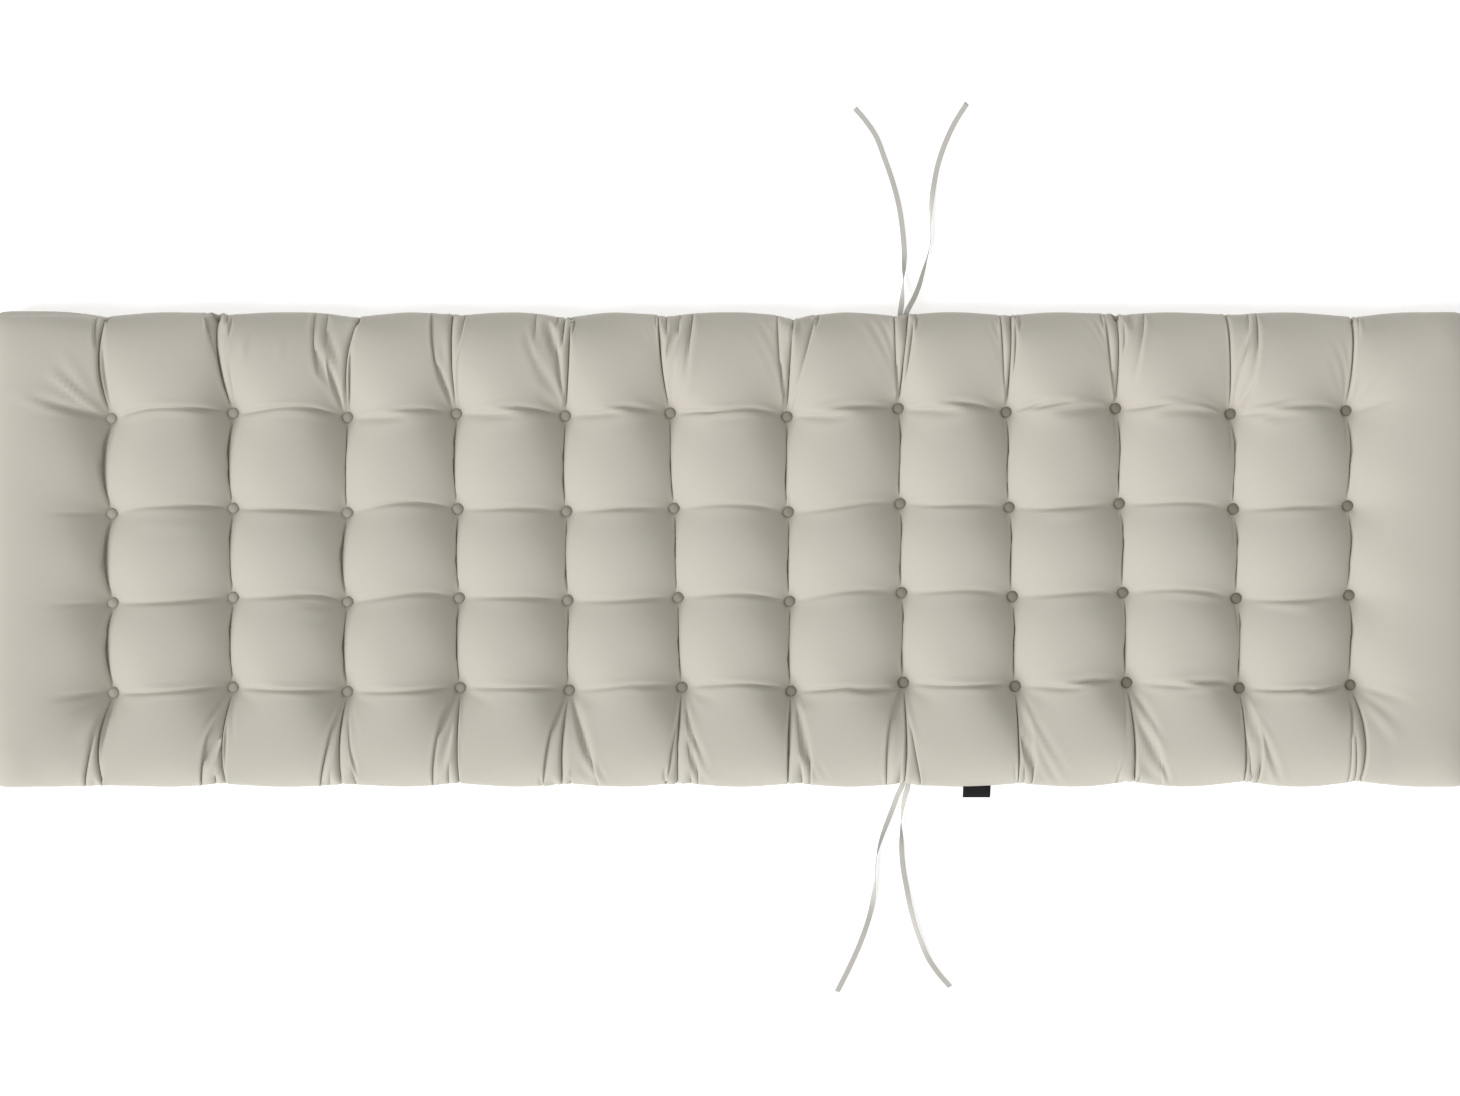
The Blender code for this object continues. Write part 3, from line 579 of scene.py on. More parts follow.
    # Where the puffs meet: every thread keeps to its own side of the creases
    low, high = np.full((ny, nx), -1e6), np.full((ny, nx), 1e6)
    inner_rows = ((b >= 1) & (b <= N_ROW))[:, None]
    col_of = np.arange(nx)[None, :]
    folds = deep > 0
    for k in range(1, N_COL + 1):
        line = column_x(k, b)[:, None]
        i = col_i[k - 1]
        gap = SLITS[k - 1]
        high = np.where((col_of <= i) & inner_rows, np.minimum(high, line - gap * (col_of < i)), high)
        low = np.where((col_of >= i) & inner_rows, np.maximum(low, line + gap * (col_of > i)), low)
        # the puff to the right comes down steeply, right at the crease
        lean, cloth_up = FLANK
        up = U - U[:, i : i + 1]
        free = 1 - smooth(1.6 * wave)
        close = (col_of > i) & (up < cloth_up) & inner_rows & (wave > 0.2)
        high = np.where(close, np.minimum(high, line + gap + up * (lean + (1.1 - lean) * free)), high)
    for near in (False, True):
        side = (np.arange(ny) < row_j[0]) if near else (np.arange(ny) > row_j[-1])
        for t in (t for tucks_k in tucks[near][0] for t in tucks_k):
            i = t["line"]
            on = (side & (deep[:, i] > 0))[:, None]
            line = X[:, i][:, None]
            high = np.where((col_of <= i) & on, np.minimum(high, line - t["gap"] * (col_of < i)), high)
            low = np.where((col_of >= i) & on, np.maximum(low, line + t["gap"] * (col_of > i)), low)
    clash = low > high
    low, high = np.where(clash, (low + high) / 2, low), np.where(clash, (low + high) / 2, high)
    low[fixed], high[fixed] = -1e6, 1e6
    low, high = low.astype(np.float32), high.astype(np.float32)

    # How taut the threads are drawn
    past = np.maximum(np.maximum(1 - A, A - N_COL), 0) * (pitch[1] - pitch[0])
    fade = 1 - smooth(past / np.where(A < 1, *ROW_FADE))
    loose, ease = (np.interp(B, np.arange(1, N_ROW + 1), row) for row in (ROW_LOOSE, ROW_EASE))
    at_row = CUT_ROW + (loose + ease * np.sin(np.pi * A) ** 2) * fade
    across = at_row + (CUT_MIDDLE - at_row) * (1 - (1 - wave**ROW_ROUND) * fade)
    rise = smooth(np.maximum(np.maximum(1 - B, B - N_ROW), 0))
    slack_u = (across + (CUT - across) * rise) / CUT
    groove = np.zeros_like(U)
    for m in range(1, N_ROW + 1):
        grips = [dict(zip(ROW_FIELDS, row)) for row in ROW_LINES[m - 1]]
        grip = np.interp(A, [k + s for k in range(1, N_COL) for s in (0.2, 0.5, 0.8)], [g[side] for g in grips for side in ("left", "middle", "right")])
        line = np.exp(-(((V - lines_v[m]) / ROW_GRIP_REACH) ** 2))
        slack_u = slack_u - ROW_GRIP * grip * fade * line
        groove = groove + ROW_GROOVE * np.clip(grip - ROW_PLAIN, 0, 1.3) * fade**2 * np.exp(-(((V - lines_v[m]) / 2.0) ** 2))
    slack_v = 1 - (1 - 1 / SPARE_ALONG) * (1 - fade)
    P = np.stack([X, Y, Z])
    from_end, from_side = HALF_LENGTH - np.abs(X), HALF_WIDTH - np.abs(Y)
    corners = (1 - smooth((from_end - 40.0) / 50.0)) * (1 - smooth((from_side - 40.0) / 50.0))
    cloth = Cloth(P, U, V, slack_u, slack_v * np.ones_like(U), fixed, folds, corners)

    def limit(P):
        np.clip(P[0], low, high, out=P[0])
        for js, is_, bx, by in beside:
            dx, dy = P[0, js, is_] - bx, P[1, js, is_] - by
            r = np.sqrt(dx * dx + dy * dy) + 1e-4
            up = P[2, js, is_] - BUTTON_Z
            want = BUTTON_CLEAR * np.clip(up / 2.5, 0, 1) + BUTTON_FUNNEL[0] * np.clip(up - 2.5, 0, BUTTON_FUNNEL[1])
            push = np.maximum(want - r, 0) / r * cloth.free[js, is_]
            P[0, js, is_] += dx * push
            P[1, js, is_] += dy * push

    cloth.relax(420, 0.009, 0.97, limit)
    cloth.relax(200, 0.005, 0.85, limit)
    P = cloth.P.astype(float)
    clear = np.ones_like(U)  # no groove close to a button or in a crease
    for k in range(1, N_COL + 1):
        clear *= 1 - np.exp(-(((P[0] - column_x(k, B)) / 11.0) ** 4))
    P[2] -= groove * clear

    # the sewn seam lies a little in from the cloth on both sides of it
    P[1, 0] += SEAM_IN
    P[1, -1] -= SEAM_IN
    P[0, :, 0] += SEAM_IN
    P[0, :, -1] -= SEAM_IN

    # Small loose folds laid over it, each a ridge with a groove on its far side
    for row in FOLDS:
        f = dict(zip(FOLD_FIELDS, row))
        start, run = np.array([f["x0"], f["y0"]]), np.array([f["x1"] - f["x0"], f["y1"] - f["y0"]])
        length = np.hypot(*run)
        along = ((P[0] - start[0]) * run[0] + (P[1] - start[1]) * run[1]) / length**2
        off = ((P[0] - start[0]) * -run[1] + (P[1] - start[1]) * run[0]) / length / f["width"]
        if run[0] < 0:
            off = -off
        taper = np.sin(np.pi * np.clip(along, 0, 1)) ** 0.7
        P[2] += f["height"] * taper * (np.exp(-off**2) - 0.55 * np.exp(-((off + 1.3) ** 2) * 2.2)) * (1 - fixed)
    j, i = row_j[1], (col_i[4] + col_i[5]) // 2
    jm = (row_j[1] + row_j[2]) // 2
    print("top panel %d x %d: crown %.1f, highest %.1f, on a row %.1f, in a crease %.1f" % (nx, ny, P[2, jm, i], P[2].max(), P[2, j, i], P[2, jm, col_i[4]]))
    return P, U, V, clean


def button_at(k, m):
    """Plan position of the button of column k and row m, both from 1, row 1 the nearest."""
    return float(column_x(k, float(m))), ROWS_Y[m - 1] + COLUMN[k - 1]["dy"]


# ---------------------------------------------------------------- under panel
UNDER_ROUND = 34.0
UNDER_DEEP = 8.0  # at a button
UNDER_COLUMN = 3.0
UNDER_ROW = 2.0


def under_profile(run):
    """Going in over the lower edge by run millimetres of cloth from the seam: distance in, and height as a share of the seam's."""
    f = np.linspace(0, np.pi / 2, 80)
    d = UNDER_ROUND * (1 - np.cos(f)) ** 1.15 - 1.3 * np.sin(2 * f)
    z = SEAM_Z * (1 - np.sin(f)) ** 1.1
    along = np.concatenate([[0], np.cumsum(np.hypot(np.diff(d), np.diff(z)))])
    past = np.maximum(run - along[-1], 0)
    return np.interp(run, along, d) + past, np.interp(run, along, z) / SEAM_Z


def under_panel(top, U, V, clean):
    """Every second thread of the top carried round below, level but for shallow dimples under the buttons: points (3, rows, columns)."""
    seam = top[:, ::2, ::2]
    U, V = U[::2, ::2], V[::2, ::2]
    ny, nx = U.shape
    # cloth from the nearest end and the nearest side
    u = U[ny // 2][None, :] * np.ones((ny, 1))
    v = V[:, nx // 2][:, None] * np.ones((1, nx))
    u_half, v_half = u.max() / 2, v.max() / 2
    u, v = (u - u_half), (v - v_half)
    u_in, v_in = u_half - np.abs(u), v_half - np.abs(v)
    d_u, z_u = under_profile(u_in)
    d_v, z_v = under_profile(v_in)
    # the round edge keeps its size, and the rest is shared out evenly
    def share(d, run, half, plan):
        edge = np.minimum(d, UNDER_ROUND)
        rest = np.maximum(d - UNDER_ROUND, 0)
        total = under_profile(np.array([half]))[0][0] - UNDER_ROUND
        return edge + rest * (plan - UNDER_ROUND) / total
    dx = share(d_u, u_in, u_half, HALF_LENGTH)
    dy = share(d_v, v_in, v_half, HALF_WIDTH)
    x = np.sign(u) * (HALF_LENGTH - dx)
    near = v < 0
    rim_x = np.where(near, clean[0, 0, ::2][None, :], clean[0, -1, ::2][None, :])
    keep = (1 - smooth(v_in / 70.0)) * (1 - 0 * u)
    x = x * (1 - keep) + (rim_x * np.where(np.abs(rim_x) > 1, np.clip((HALF_LENGTH - dx) / HALF_LENGTH, 0, 1) ** 0, 1)) * keep
    # inside the rounded ends the rim's own x gives way to the profile's
    end = 1 - smooth(u_in / 70.0)
    x = x * (1 - end) + np.sign(u) * (HALF_LENGTH - dx) * end
    half_y = np.where(near, edge_line(x, True), edge_line(x, False))
    half_y = HALF_WIDTH - (HALF_WIDTH - half_y) * np.clip(1 - dy / 60.0, 0, 1)
    bulge = 3.5 * seam_inset(x) * ~near * np.sin(np.pi * np.clip(v_in / 22.0, 0, 1))
    y = np.sign(v) * np.maximum(half_y - dy + bulge * 0.3, 0)
    z = np.where(near, seam_height(x, True), seam_height(x, False)) * np.maximum(z_u, z_v)
    # dimples and shallow channels
    inside_x = smooth((HALF_LENGTH - 100 - np.abs(x)) / 90)
    inside_y = smooth((HALF_WIDTH - 70 - np.abs(y)) / 70)
    dip = np.zeros_like(x)
    for k in range(1, N_COL + 1):
        line = column_x(k, np.interp(y, [-HALF_WIDTH, *ROWS_Y, HALF_WIDTH], range(N_ROW + 2)))
        dip = np.maximum(dip, UNDER_COLUMN * np.exp(-(((x - line) / 8.0) ** 2)) * inside_y)
        for m in range(1, N_ROW + 1):
            bx, by = button_at(k, m)
            dip = np.maximum(dip, UNDER_DEEP * np.exp(-((np.hypot(x - bx, y - by) / 13.0) ** 1.6)))
    for m in range(1, N_ROW + 1):
        dip = np.maximum(dip, UNDER_ROW * np.exp(-(((y - ROWS_Y[m - 1]) / 9.0) ** 2)) * inside_x)
    z = np.maximum(np.maximum(z, dip), 0.15)
    x, y = rounded(x, y)
    P = np.stack([x, y, z])
    for edge in ((slice(None), 0), (slice(None), -1), (slice(None), slice(None), 0), (slice(None), slice(None), -1)):
        P[edge] = seam[edge]
    return P


def zip_under(ny, nx):
    """Faces that close the top panel (ny by nx points) with an under panel of every second one, its rim being the top's: quads, and the rest with five or six corners. Under points are numbered after the top's, the rim left out."""
    hy, hx = (ny + 1) // 2, (nx + 1) // 2
    number = np.full((hy, hx), -1)
    top = np.arange(ny * nx).reshape(ny, nx)
    number[0], number[-1] = top[0, ::2], top[-1, ::2]
    number[:, 0], number[:, -1] = top[::2, 0], top[::2, -1]
    number[1:-1, 1:-1] = ny * nx + np.arange((hy - 2) * (hx - 2)).reshape(hy - 2, hx - 2)
    quads = np.stack([number[:-1, :-1], number[1:, :-1], number[1:, 1:], number[:-1, 1:]], -1)
    inner = quads[1:-1, 1:-1].reshape(-1, 4)
    rim = []
    for j in range(hy - 1):
        for i in range(hx - 1):
            if 0 < j < hy - 2 and 0 < i < hx - 2:
                continue
            p, q, r, s = (int(n) for n in quads[j, i])  # corners (j,i), (j+1,i), (j+1,i+1), (j,i+1)
            face = [p]
            if i == 0:
                face.append(int(top[2 * j + 1, 0]))
            face.append(q)
            if j == hy - 2:
                face.append(int(top[-1, 2 * i + 1]))
            face.append(r)
            if i == hx - 2:
                face.append(int(top[2 * j + 1, -1]))
            face.append(s)
            if j == 0:
                face.append(int(top[0, 2 * i + 1]))
            rim.append(face)
    return inner, rim


# ---------------------------------------------------------------- meshes

def mesh_object(name, points, faces, more=(), uv=None, facing=None):
    """points in metres; faces all with the same number of corners, more with any."""
    points = np.asarray(points, np.float32)
    faces = np.asarray(faces, np.int32)
    sizes = np.concatenate([np.full(len(faces), faces.shape[1]), [len(f) for f in more]]).astype(np.int32)
    loops = np.concatenate([faces.ravel()] + [np.asarray(f, np.int32) for f in more]).astype(np.int32)
    mesh = bpy.data.meshes.new(name)
    mesh.vertices.add(len(points))
    mesh.vertices.foreach_set("co", points.ravel())
    mesh.loops.add(len(loops))
    mesh.loops.foreach_set("vertex_index", loops)
    mesh.polygons.add(len(sizes))
    mesh.polygons.foreach_set("loop_start", np.concatenate([[0], np.cumsum(sizes)[:-1]]).astype(np.int32))
    mesh.polygons.foreach_set("loop_total", sizes)
    mesh.update(calc_edges=True)
    mesh.polygons.foreach_set("use_smooth", np.ones(len(sizes), bool))
    if uv is not None:
        layer = mesh.uv_layers.new(name="cloth")
        layer.data.foreach_set("uv", np.asarray(uv, np.float32)[loops].ravel())
    mesh.validate()
    obj = bpy.data.objects.new(name, mesh)
    bpy.context.scene.collection.objects.link(obj)
    return obj


def grid_faces(ny, nx, wrap=False, start=0):
    """Quads of a grid of points, the last column joined to the first if wrap."""
    at = start + np.arange(ny * nx).reshape(ny, nx)
    if wrap:
        at = np.concatenate([at, at[:, :1]], 1)
    return np.stack([at[:-1, :-1], at[:-1, 1:], at[1:, 1:], at[1:, :-1]], -1).reshape(-1, 4)


# ---------------------------------------------------------------- materials

class Look:
    """A material being put together node by node."""

    def __init__(self, name, colour, rough, sheen=0.0, spec=0.3):
        self.mat = bpy.data.materials.new(name)
        self.mat.use_nodes = True
        self.nodes, self.links = self.mat.node_tree.nodes, self.mat.node_tree.links
        self.shader = self.nodes["Principled BSDF"]
        self.shader.inputs["Base Color"].default_value = (*colour, 1)
        self.shader.inputs["Roughness"].default_value = rough
        self.shader.inputs["Specular IOR Level"].default_value = spec
        self.shader.inputs["Sheen Weight"].default_value = sheen
        self.shader.inputs["Sheen Roughness"].default_value = 0.5

    def node(self, kind, inputs=(), **settings):
        made = self.nodes.new(kind)
        for key, value in settings.items():
            setattr(made, key, value)
        for key, value in dict(inputs).items():
            if isinstance(value, bpy.types.NodeSocket):
                self.links.new(value, made.inputs[key])
            else:
                made.inputs[key].default_value = value
        return made

    def math(self, operation, a, b=0.5, clamp=False):
        made = self.node("ShaderNodeMath", operation=operation, use_clamp=clamp)
        for n, value in enumerate((a, b)):
            if isinstance(value, bpy.types.NodeSocket):
                self.links.new(value, made.inputs[n])
            else:
                made.inputs[n].default_value = value
        return made.outputs[0]

    def mottle(self, vector, scale, light, dark, detail=3.0):
        """Base colour wandering gently between two tones."""
        noise = self.node("ShaderNodeTexNoise", {"Vector": vector, "Scale": scale, "Detail": detail, "Roughness": 0.55})
        mix = self.node("ShaderNodeMix", data_type="RGBA")
        self.links.new(noise.outputs["Fac"], mix.inputs[0])
        mix.inputs[6].default_value = (*dark, 1)
        mix.inputs[7].default_value = (*light, 1)
        self.links.new(mix.outputs[2], self.shader.inputs["Base Color"])
        return mix

    def bump(self, height, strength, distance, under=None):
        made = self.node("ShaderNodeBump", {"Height": height, "Strength": strength, "Distance": distance})
        if under is not None:
            self.links.new(under, made.inputs["Normal"])
        self.links.new(made.outputs["Normal"], self.shader.inputs["Normal"])
        return made.outputs["Normal"]

    def weave(self, vector, pitch, strength, distance, under=None, twill=False):
        """Plain weave: threads going over and under at the given pitch in metres."""
        split = self.node("ShaderNodeSeparateXYZ", {"Vector": vector})
        turns = 2 * math.pi / pitch
        su = self.math("SINE", self.math("MULTIPLY", split.outputs["X"], turns))
        sv = self.math("SINE", self.math("MULTIPLY", split.outputs["Y"], turns))
        if twill:
            height = self.math("SINE", self.math("MULTIPLY", self.math("ADD", split.outputs["X"], split.outputs["Y"]), turns))
        else:
            height = self.math("MULTIPLY", su, sv)
        height = self.math("MULTIPLY_ADD", height, 0.5)
        return self.bump(height, strength, distance, under)


def canvas(name, light, dark, pitch=0.0011):
    look = Look(name, light, 0.9, sheen=0.18, spec=0.18)
    uv = look.node("ShaderNodeTexCoord").outputs["UV"]
    look.mottle(uv, 3.0, light, dark)
    slub = look.node("ShaderNodeTexNoise", {"Vector": uv, "Scale": 260.0, "Detail": 3.0, "Roughness": 0.6})
    soft = look.bump(slub.outputs["Fac"], 0.10, 0.0004)
    look.weave(uv, pitch, 0.16, 0.00018, soft)
    return look.mat


def tape(name, light, dark, rib):
    look = Look(name, light, 0.88, sheen=0.15, spec=0.2)
    uv = look.node("ShaderNodeTexCoord").outputs["UV"]
    look.mottle(uv, 40.0, light, dark)
    look.weave(uv, rib, 0.45, 0.00022, twill=True)
    return look.mat


# ---------------------------------------------------------------- the pad
sizes = ((48, 40, 22, 30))
P, U, V, clean = top_panel(*sizes)
ny, nx = P.shape[1:]
under = under_panel(P, U, V, clean)
inner, rim = zip_under(ny, nx)
points = np.concatenate([P.reshape(3, -1).T, under[:, 1:-1, 1:-1].reshape(3, -1).T]) * MM
spot = np.concatenate([np.stack([U, V], -1).reshape(-1, 2), np.stack([U[::2, ::2], V[::2, ::2] + 900.0], -1)[1:-1, 1:-1].reshape(-1, 2)]) * MM
top_quads = grid_faces(ny, nx)
# the quads at the four corners are cut from the corner inwards, so that none folds flat on the one below
tips = [(0, 0), (nx - 2, 1), (len(top_quads) - 1, 2), (len(top_quads) - nx + 1, 3)]
for at, turn in tips:
    a, b, c, d = np.roll(top_quads[at], -turn).tolist()
    rim += [(a, b, c), (a, c, d)]
top_quads = np.delete(top_quads, [at for at, _ in tips], 0)
pad = mesh_object("cushion_canvas", points, np.concatenate([top_quads, inner]), rim, uv=spot)
pad.data.materials.append(canvas("canvas", (0.555, 0.528, 0.462), (0.525, 0.498, 0.434)))
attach(pad, "root")
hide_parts("cushion")

# ---------------------------------------------------------------- buttons
# Rings of the covered dome: radius, height over the cloth it sits on, and how
# deep the gathers round its rim are drawn in there
BUTTON_FIELDS = ("radius", "height", "gather")
BUTTON_RINGS = (
    (6.2, 0.0, 0.1), (6.8, 0.4, 0.2), (7.05, 1.0, 0.35), (7.0, 1.8, 0.45), (6.7, 2.6, 0.5), (6.15, 3.35, 0.4),
    (5.45, 4.0, 0.2), (4.6, 4.55, 0.05), (3.6, 5.0, 0.0), (2.5, 5.35, 0.0), (1.3, 5.6, 0.0),
)
BUTTON_TOP = 5.7
GATHERS = 14
GATHER_STEPS = 8


def buttons():
    """All the buttons: points in millimetres, faces, and each point's place on its button's cover, counted from the crown."""
    rng = np.random.default_rng(48)
    turn = 2 * math.pi * np.arange(GATHERS * GATHER_STEPS) / (GATHERS * GATHER_STEPS)
    n = len(turn)
    dent = (0.5 + 0.5 * np.cos(GATHERS * turn)) ** 1.8
    rings = [dict(zip(BUTTON_FIELDS, row)) for row in BUTTON_RINGS]
    radius = np.array([ring["radius"] - ring["gather"] * dent for ring in rings])
    height = np.array([np.full(n, ring["height"]) for ring in rings])
    # cloth from the crown, ring by ring
    line = np.array([(0.0, BUTTON_TOP)] + [(ring["radius"], ring["height"]) for ring in rings[::-1]])
    cover = np.cumsum(np.hypot(*np.diff(line, axis=0).T))[::-1]
    points, faces, places = [], [], []
    for k in range(1, N_COL + 1):
        for m in range(1, N_ROW + 1):
            bx, by = button_at(k, m)
            lean, way, spin, big = rng.uniform(0, 0.09), rng.uniform(0, 2 * math.pi), rng.uniform(0, 2 * math.pi), rng.uniform(0.97, 1.03)
            uneven = 1 + 0.02 * np.sin(2 * turn + way) + 0.012 * np.sin(3 * turn + spin)
            th = turn + spin
            x, y = radius * np.cos(th) * uneven * big, radius * np.sin(th) * uneven * big
            z = height + 0.12 * (rng.uniform(-1, 1, n) * dent)[None, :] * (height > 1.0)
            x, y, z = (np.concatenate([part.ravel(), [end]]) for part, end in ((x, 0.0), (y, 0.0), (z, BUTTON_TOP)))
            z = z + lean * (x * math.cos(way) + y * math.sin(way)) * np.clip(z / 2.0, 0, 1)
            start = len(points) * (len(rings) * n + 1)
            points.append(np.stack([bx + x, by + y, BUTTON_Z + 0.2 + z], -1))
            faces.append((start, len(rings)))
            c = np.concatenate([np.repeat(cover[:, None], n, 1).ravel(), [0.0]])
            t = np.concatenate([np.tile(turn, len(rings)), [0.0]])
            places.append(np.stack([c * np.cos(t), c * np.sin(t)], -1))
    quads = np.concatenate([grid_faces(len(rings), n, wrap=True, start=start) for start, _ in faces])
    rest = []
    for start, _ in faces:
        crown = start + len(rings) * n
        ring = start + (len(rings) - 1) * n
        rest += [(ring + i, ring + (i + 1) % n, crown) for i in range(n)]
        rest.append(tuple(start + i for i in range(n))[::-1])
    return np.concatenate(points), quads, rest, np.concatenate(places)


def button_cloth(name, light, dark, fold):
    """Covered button: greyer towards the right of the pad, with painted shade down in the gathers round the rim,
    stronger on the side away from the light and towards the right of the pad.
    """
    look = Look(name, light, 0.9, sheen=0.15, spec=0.2)
    coord = look.node("ShaderNodeTexCoord")
    along = look.node("ShaderNodeSeparateXYZ", {"Vector": coord.outputs["Object"]}).outputs["X"]
    share = look.node("ShaderNodeMapRange", {"Value": along, "From Min": -0.75, "From Max": 0.6}).outputs["Result"]
    tone = look.node("ShaderNodeMix", data_type="RGBA")
    look.links.new(share, tone.inputs[0])
    tone.inputs[6].default_value = (*light, 1)
    tone.inputs[7].default_value = (*dark, 1)
    uv = look.node("ShaderNodeSeparateXYZ", {"Vector": coord.outputs["UV"]})
    angle = look.math("ARCTAN2", uv.outputs["Y"], uv.outputs["X"])
    reach = look.math("SQRT", look.math("ADD", look.math("POWER", uv.outputs["X"], 2.0), look.math("POWER", uv.outputs["Y"], 2.0)))
    # painted shade down in the gathers: a dark notch at each gather, held to a band near the rim
    notch = look.math("MULTIPLY", look.math("SUBTRACT", look.math("COSINE", look.math("MULTIPLY", angle, float(GATHERS))), 0.25), 2.4, clamp=True)
    band = look.math("SUBTRACT", 1.0, look.math("DIVIDE", look.math("ABSOLUTE", look.math("SUBTRACT", reach, 0.0081)), 0.0022), clamp=True)
    # darker down the side away from the light
    facing = look.node("ShaderNodeSeparateXYZ", {"Vector": look.node("ShaderNodeNewGeometry").outputs["Normal"]})
    lee = look.math("ADD", 0.5, look.math("MULTIPLY", look.math("ADD", facing.outputs["X"], facing.outputs["Y"]), -0.55), clamp=True)
    deep = look.math("MULTIPLY", look.math("MULTIPLY", notch, look.math("MULTIPLY", band, 1.8, clamp=True)), lee)
    # the painted shade is weaker towards the left of the pad
    deep = look.math("MULTIPLY", deep, look.math("ADD", 0.55, look.math("MULTIPLY", share, 0.45)))
    # fold is the colour of the painted shade in the gathers
    mix = look.node("ShaderNodeMix", data_type="RGBA")
    look.links.new(deep, mix.inputs[0])
    look.links.new(tone.outputs[2], mix.inputs[6])
    mix.inputs[7].default_value = (*fold, 1)
    look.links.new(mix.outputs[2], look.shader.inputs["Base Color"])
    look.weave(coord.outputs["UV"], 0.0009, 0.2, 0.00015)
    return look.mat


dots, quads, rest, places = buttons()
button_piece = mesh_object("buttons", dots * MM, quads, rest, uv=places * MM)
# the last colour is the painted shade down in the gathers
button_piece.data.materials.append(button_cloth("button_canvas", (0.47, 0.445, 0.39), (0.25, 0.225, 0.18), (0.07, 0.063, 0.05)))
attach(button_piece, "root")
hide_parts(*["button_r%d_c%02d" % (r, c) for r in range(1, N_ROW + 1) for c in range(1, N_COL + 1)])

# ---------------------------------------------------------------- ties and label
TAPE_WIDTH = 6.6
TAPE_THICK = 0.9
TAPE_STEP = 2.5
# One row per section: along, across and up, and how far the tape is turned
# about its own line (0 lies flat). The first row is inside the seam.
TIE_FIELDS = ("x", "y", "z", "turn")
TIES = {
    "tie_nw": (
        (214.6, 291.0, 28.0, 0),
        (215.5, 299.4, 26.0, 0),
        (217.2, 310.0, 20.5, 15),
        (219.0, 325.0, 12.0, 50),
        (220.5, 342.0, 6.0, 90),
        (221.6, 360.0, 3.6, 150),
        (222.0, 378.0, 1.6, 180),
        (220.3, 402.3, 1.2, 180),
        (214.7, 440.2, 1.2, 180),
        (209.7, 460.4, 1.2, 176),
        (197.0, 498.3, 1.2, 180),
        (185.0, 528.6, 1.2, 180),
        (173.0, 546.3, 1.2, 180),
        (159.1, 562.7, 1.2, 180),
    ),
    "tie_ne": (
        (220.5, 291.0, 28.0, 0),
        (223.5, 300.4, 26.0, 0),
        (228.5, 310.0, 20.5, -8),
        (234.0, 320.0, 13.5, -15),
        (241.0, 337.0, 6.0, -22),
        (245.5, 352.5, 4.2, -40),
        (250.5, 370.0, 4.2, -72),
        (255.0, 390.0, 4.2, -90),
        (255.5, 420.0, 4.2, -95),
        (256.4, 440.0, 3.2, -140),
        (260.2, 467.9, 1.2, -180),
        (265.2, 491.9, 1.2, -180),
        (275.3, 521.0, 1.2, -180),
        (285.4, 542.5, 1.2, -180),
        (301.9, 569.0, 1.2, -180),
    ),
    "tie_sw": (
        (219.0, -292.0, 28.0, 0),
        (217.0, -299.6, 26.0, 0),
        (212.5, -311.0, 19.5, 6),
        (205.9, -331.5, 8.5, 12),
        (197.0, -356.0, 3.4, 25),
        (189.4, -379.5, 3.6, 60),
        (186.3, -395.0, 4.2, 90),
        (184.8, -420.0, 4.2, 92),
        (183.0, -440.0, 3.4, 140),
        (180.6, -455.3, 1.6, 175),
        (166.7, -499.5, 1.2, 180),
        (151.6, -533.6, 1.2, 180),
        (136.4, -563.9, 1.2, 180),
    ),
    "tie_se": (
        (225.5, -292.0, 28.0, 0),
        (224.5, -300.4, 26.0, 0),
        (222.0, -311.0, 20.0, -25),
        (219.0, -331.5, 9.5, -65),
        (217.8, -346.0, 5.2, -95),
        (218.2, -365.0, 3.8, -140),
        (218.5, -379.5, 1.8, -172),
        (220.5, -405.0, 1.2, -180),
        (224.8, -430.0, 1.2, -180),
        (229.5, -455.0, 2.2, -205),
        (236.2, -480.6, 2.8, -215),
        (244.0, -502.0, 2.2, -208),
        (252.6, -521.0, 1.3, -184),
        (266.0, -541.0, 1.2, -180),
        (280.4, -557.6, 1.2, -180),
    ),
}

# The side label, one row per section out from the seam
LABEL_X = (294.5, 329.5)
LABEL_THICK = 1.0
LABEL_ROWS = (
    (312.0, -297.5, 27.8, 0),
    (312.0, -301.7, 27.3, 0),
    (312.0, -305.6, 26.3, 0),
    (312.0, -309.4, 24.5, 0),
    (312.0, -313.6, 21.6, 0),
)


def through(rows, step):
    """Rows of numbers, the first three a place, as a smooth run of rows about a step apart."""
    rows = np.array(rows, float)
    at = np.concatenate([[0], np.cumsum(np.linalg.norm(np.diff(rows[:, :3], axis=0), axis=1))])
    slope = np.gradient(rows, at, axis=0)
    wanted = np.linspace(0, at[-1], int(round(at[-1] / step)) + 1)
    i = np.clip(np.searchsorted(at, wanted, "right") - 1, 0, len(at) - 2)
    gap = (at[i + 1] - at[i])[:, None]
    t = (wanted - at[i])[:, None] / gap
    return (
        rows[i] * (1 + 2 * t) * (1 - t) ** 2 + rows[i + 1] * t * t * (3 - 2 * t)
        + slope[i] * gap * t * (1 - t) ** 2 - slope[i + 1] * gap * t * t * (1 - t)
    )


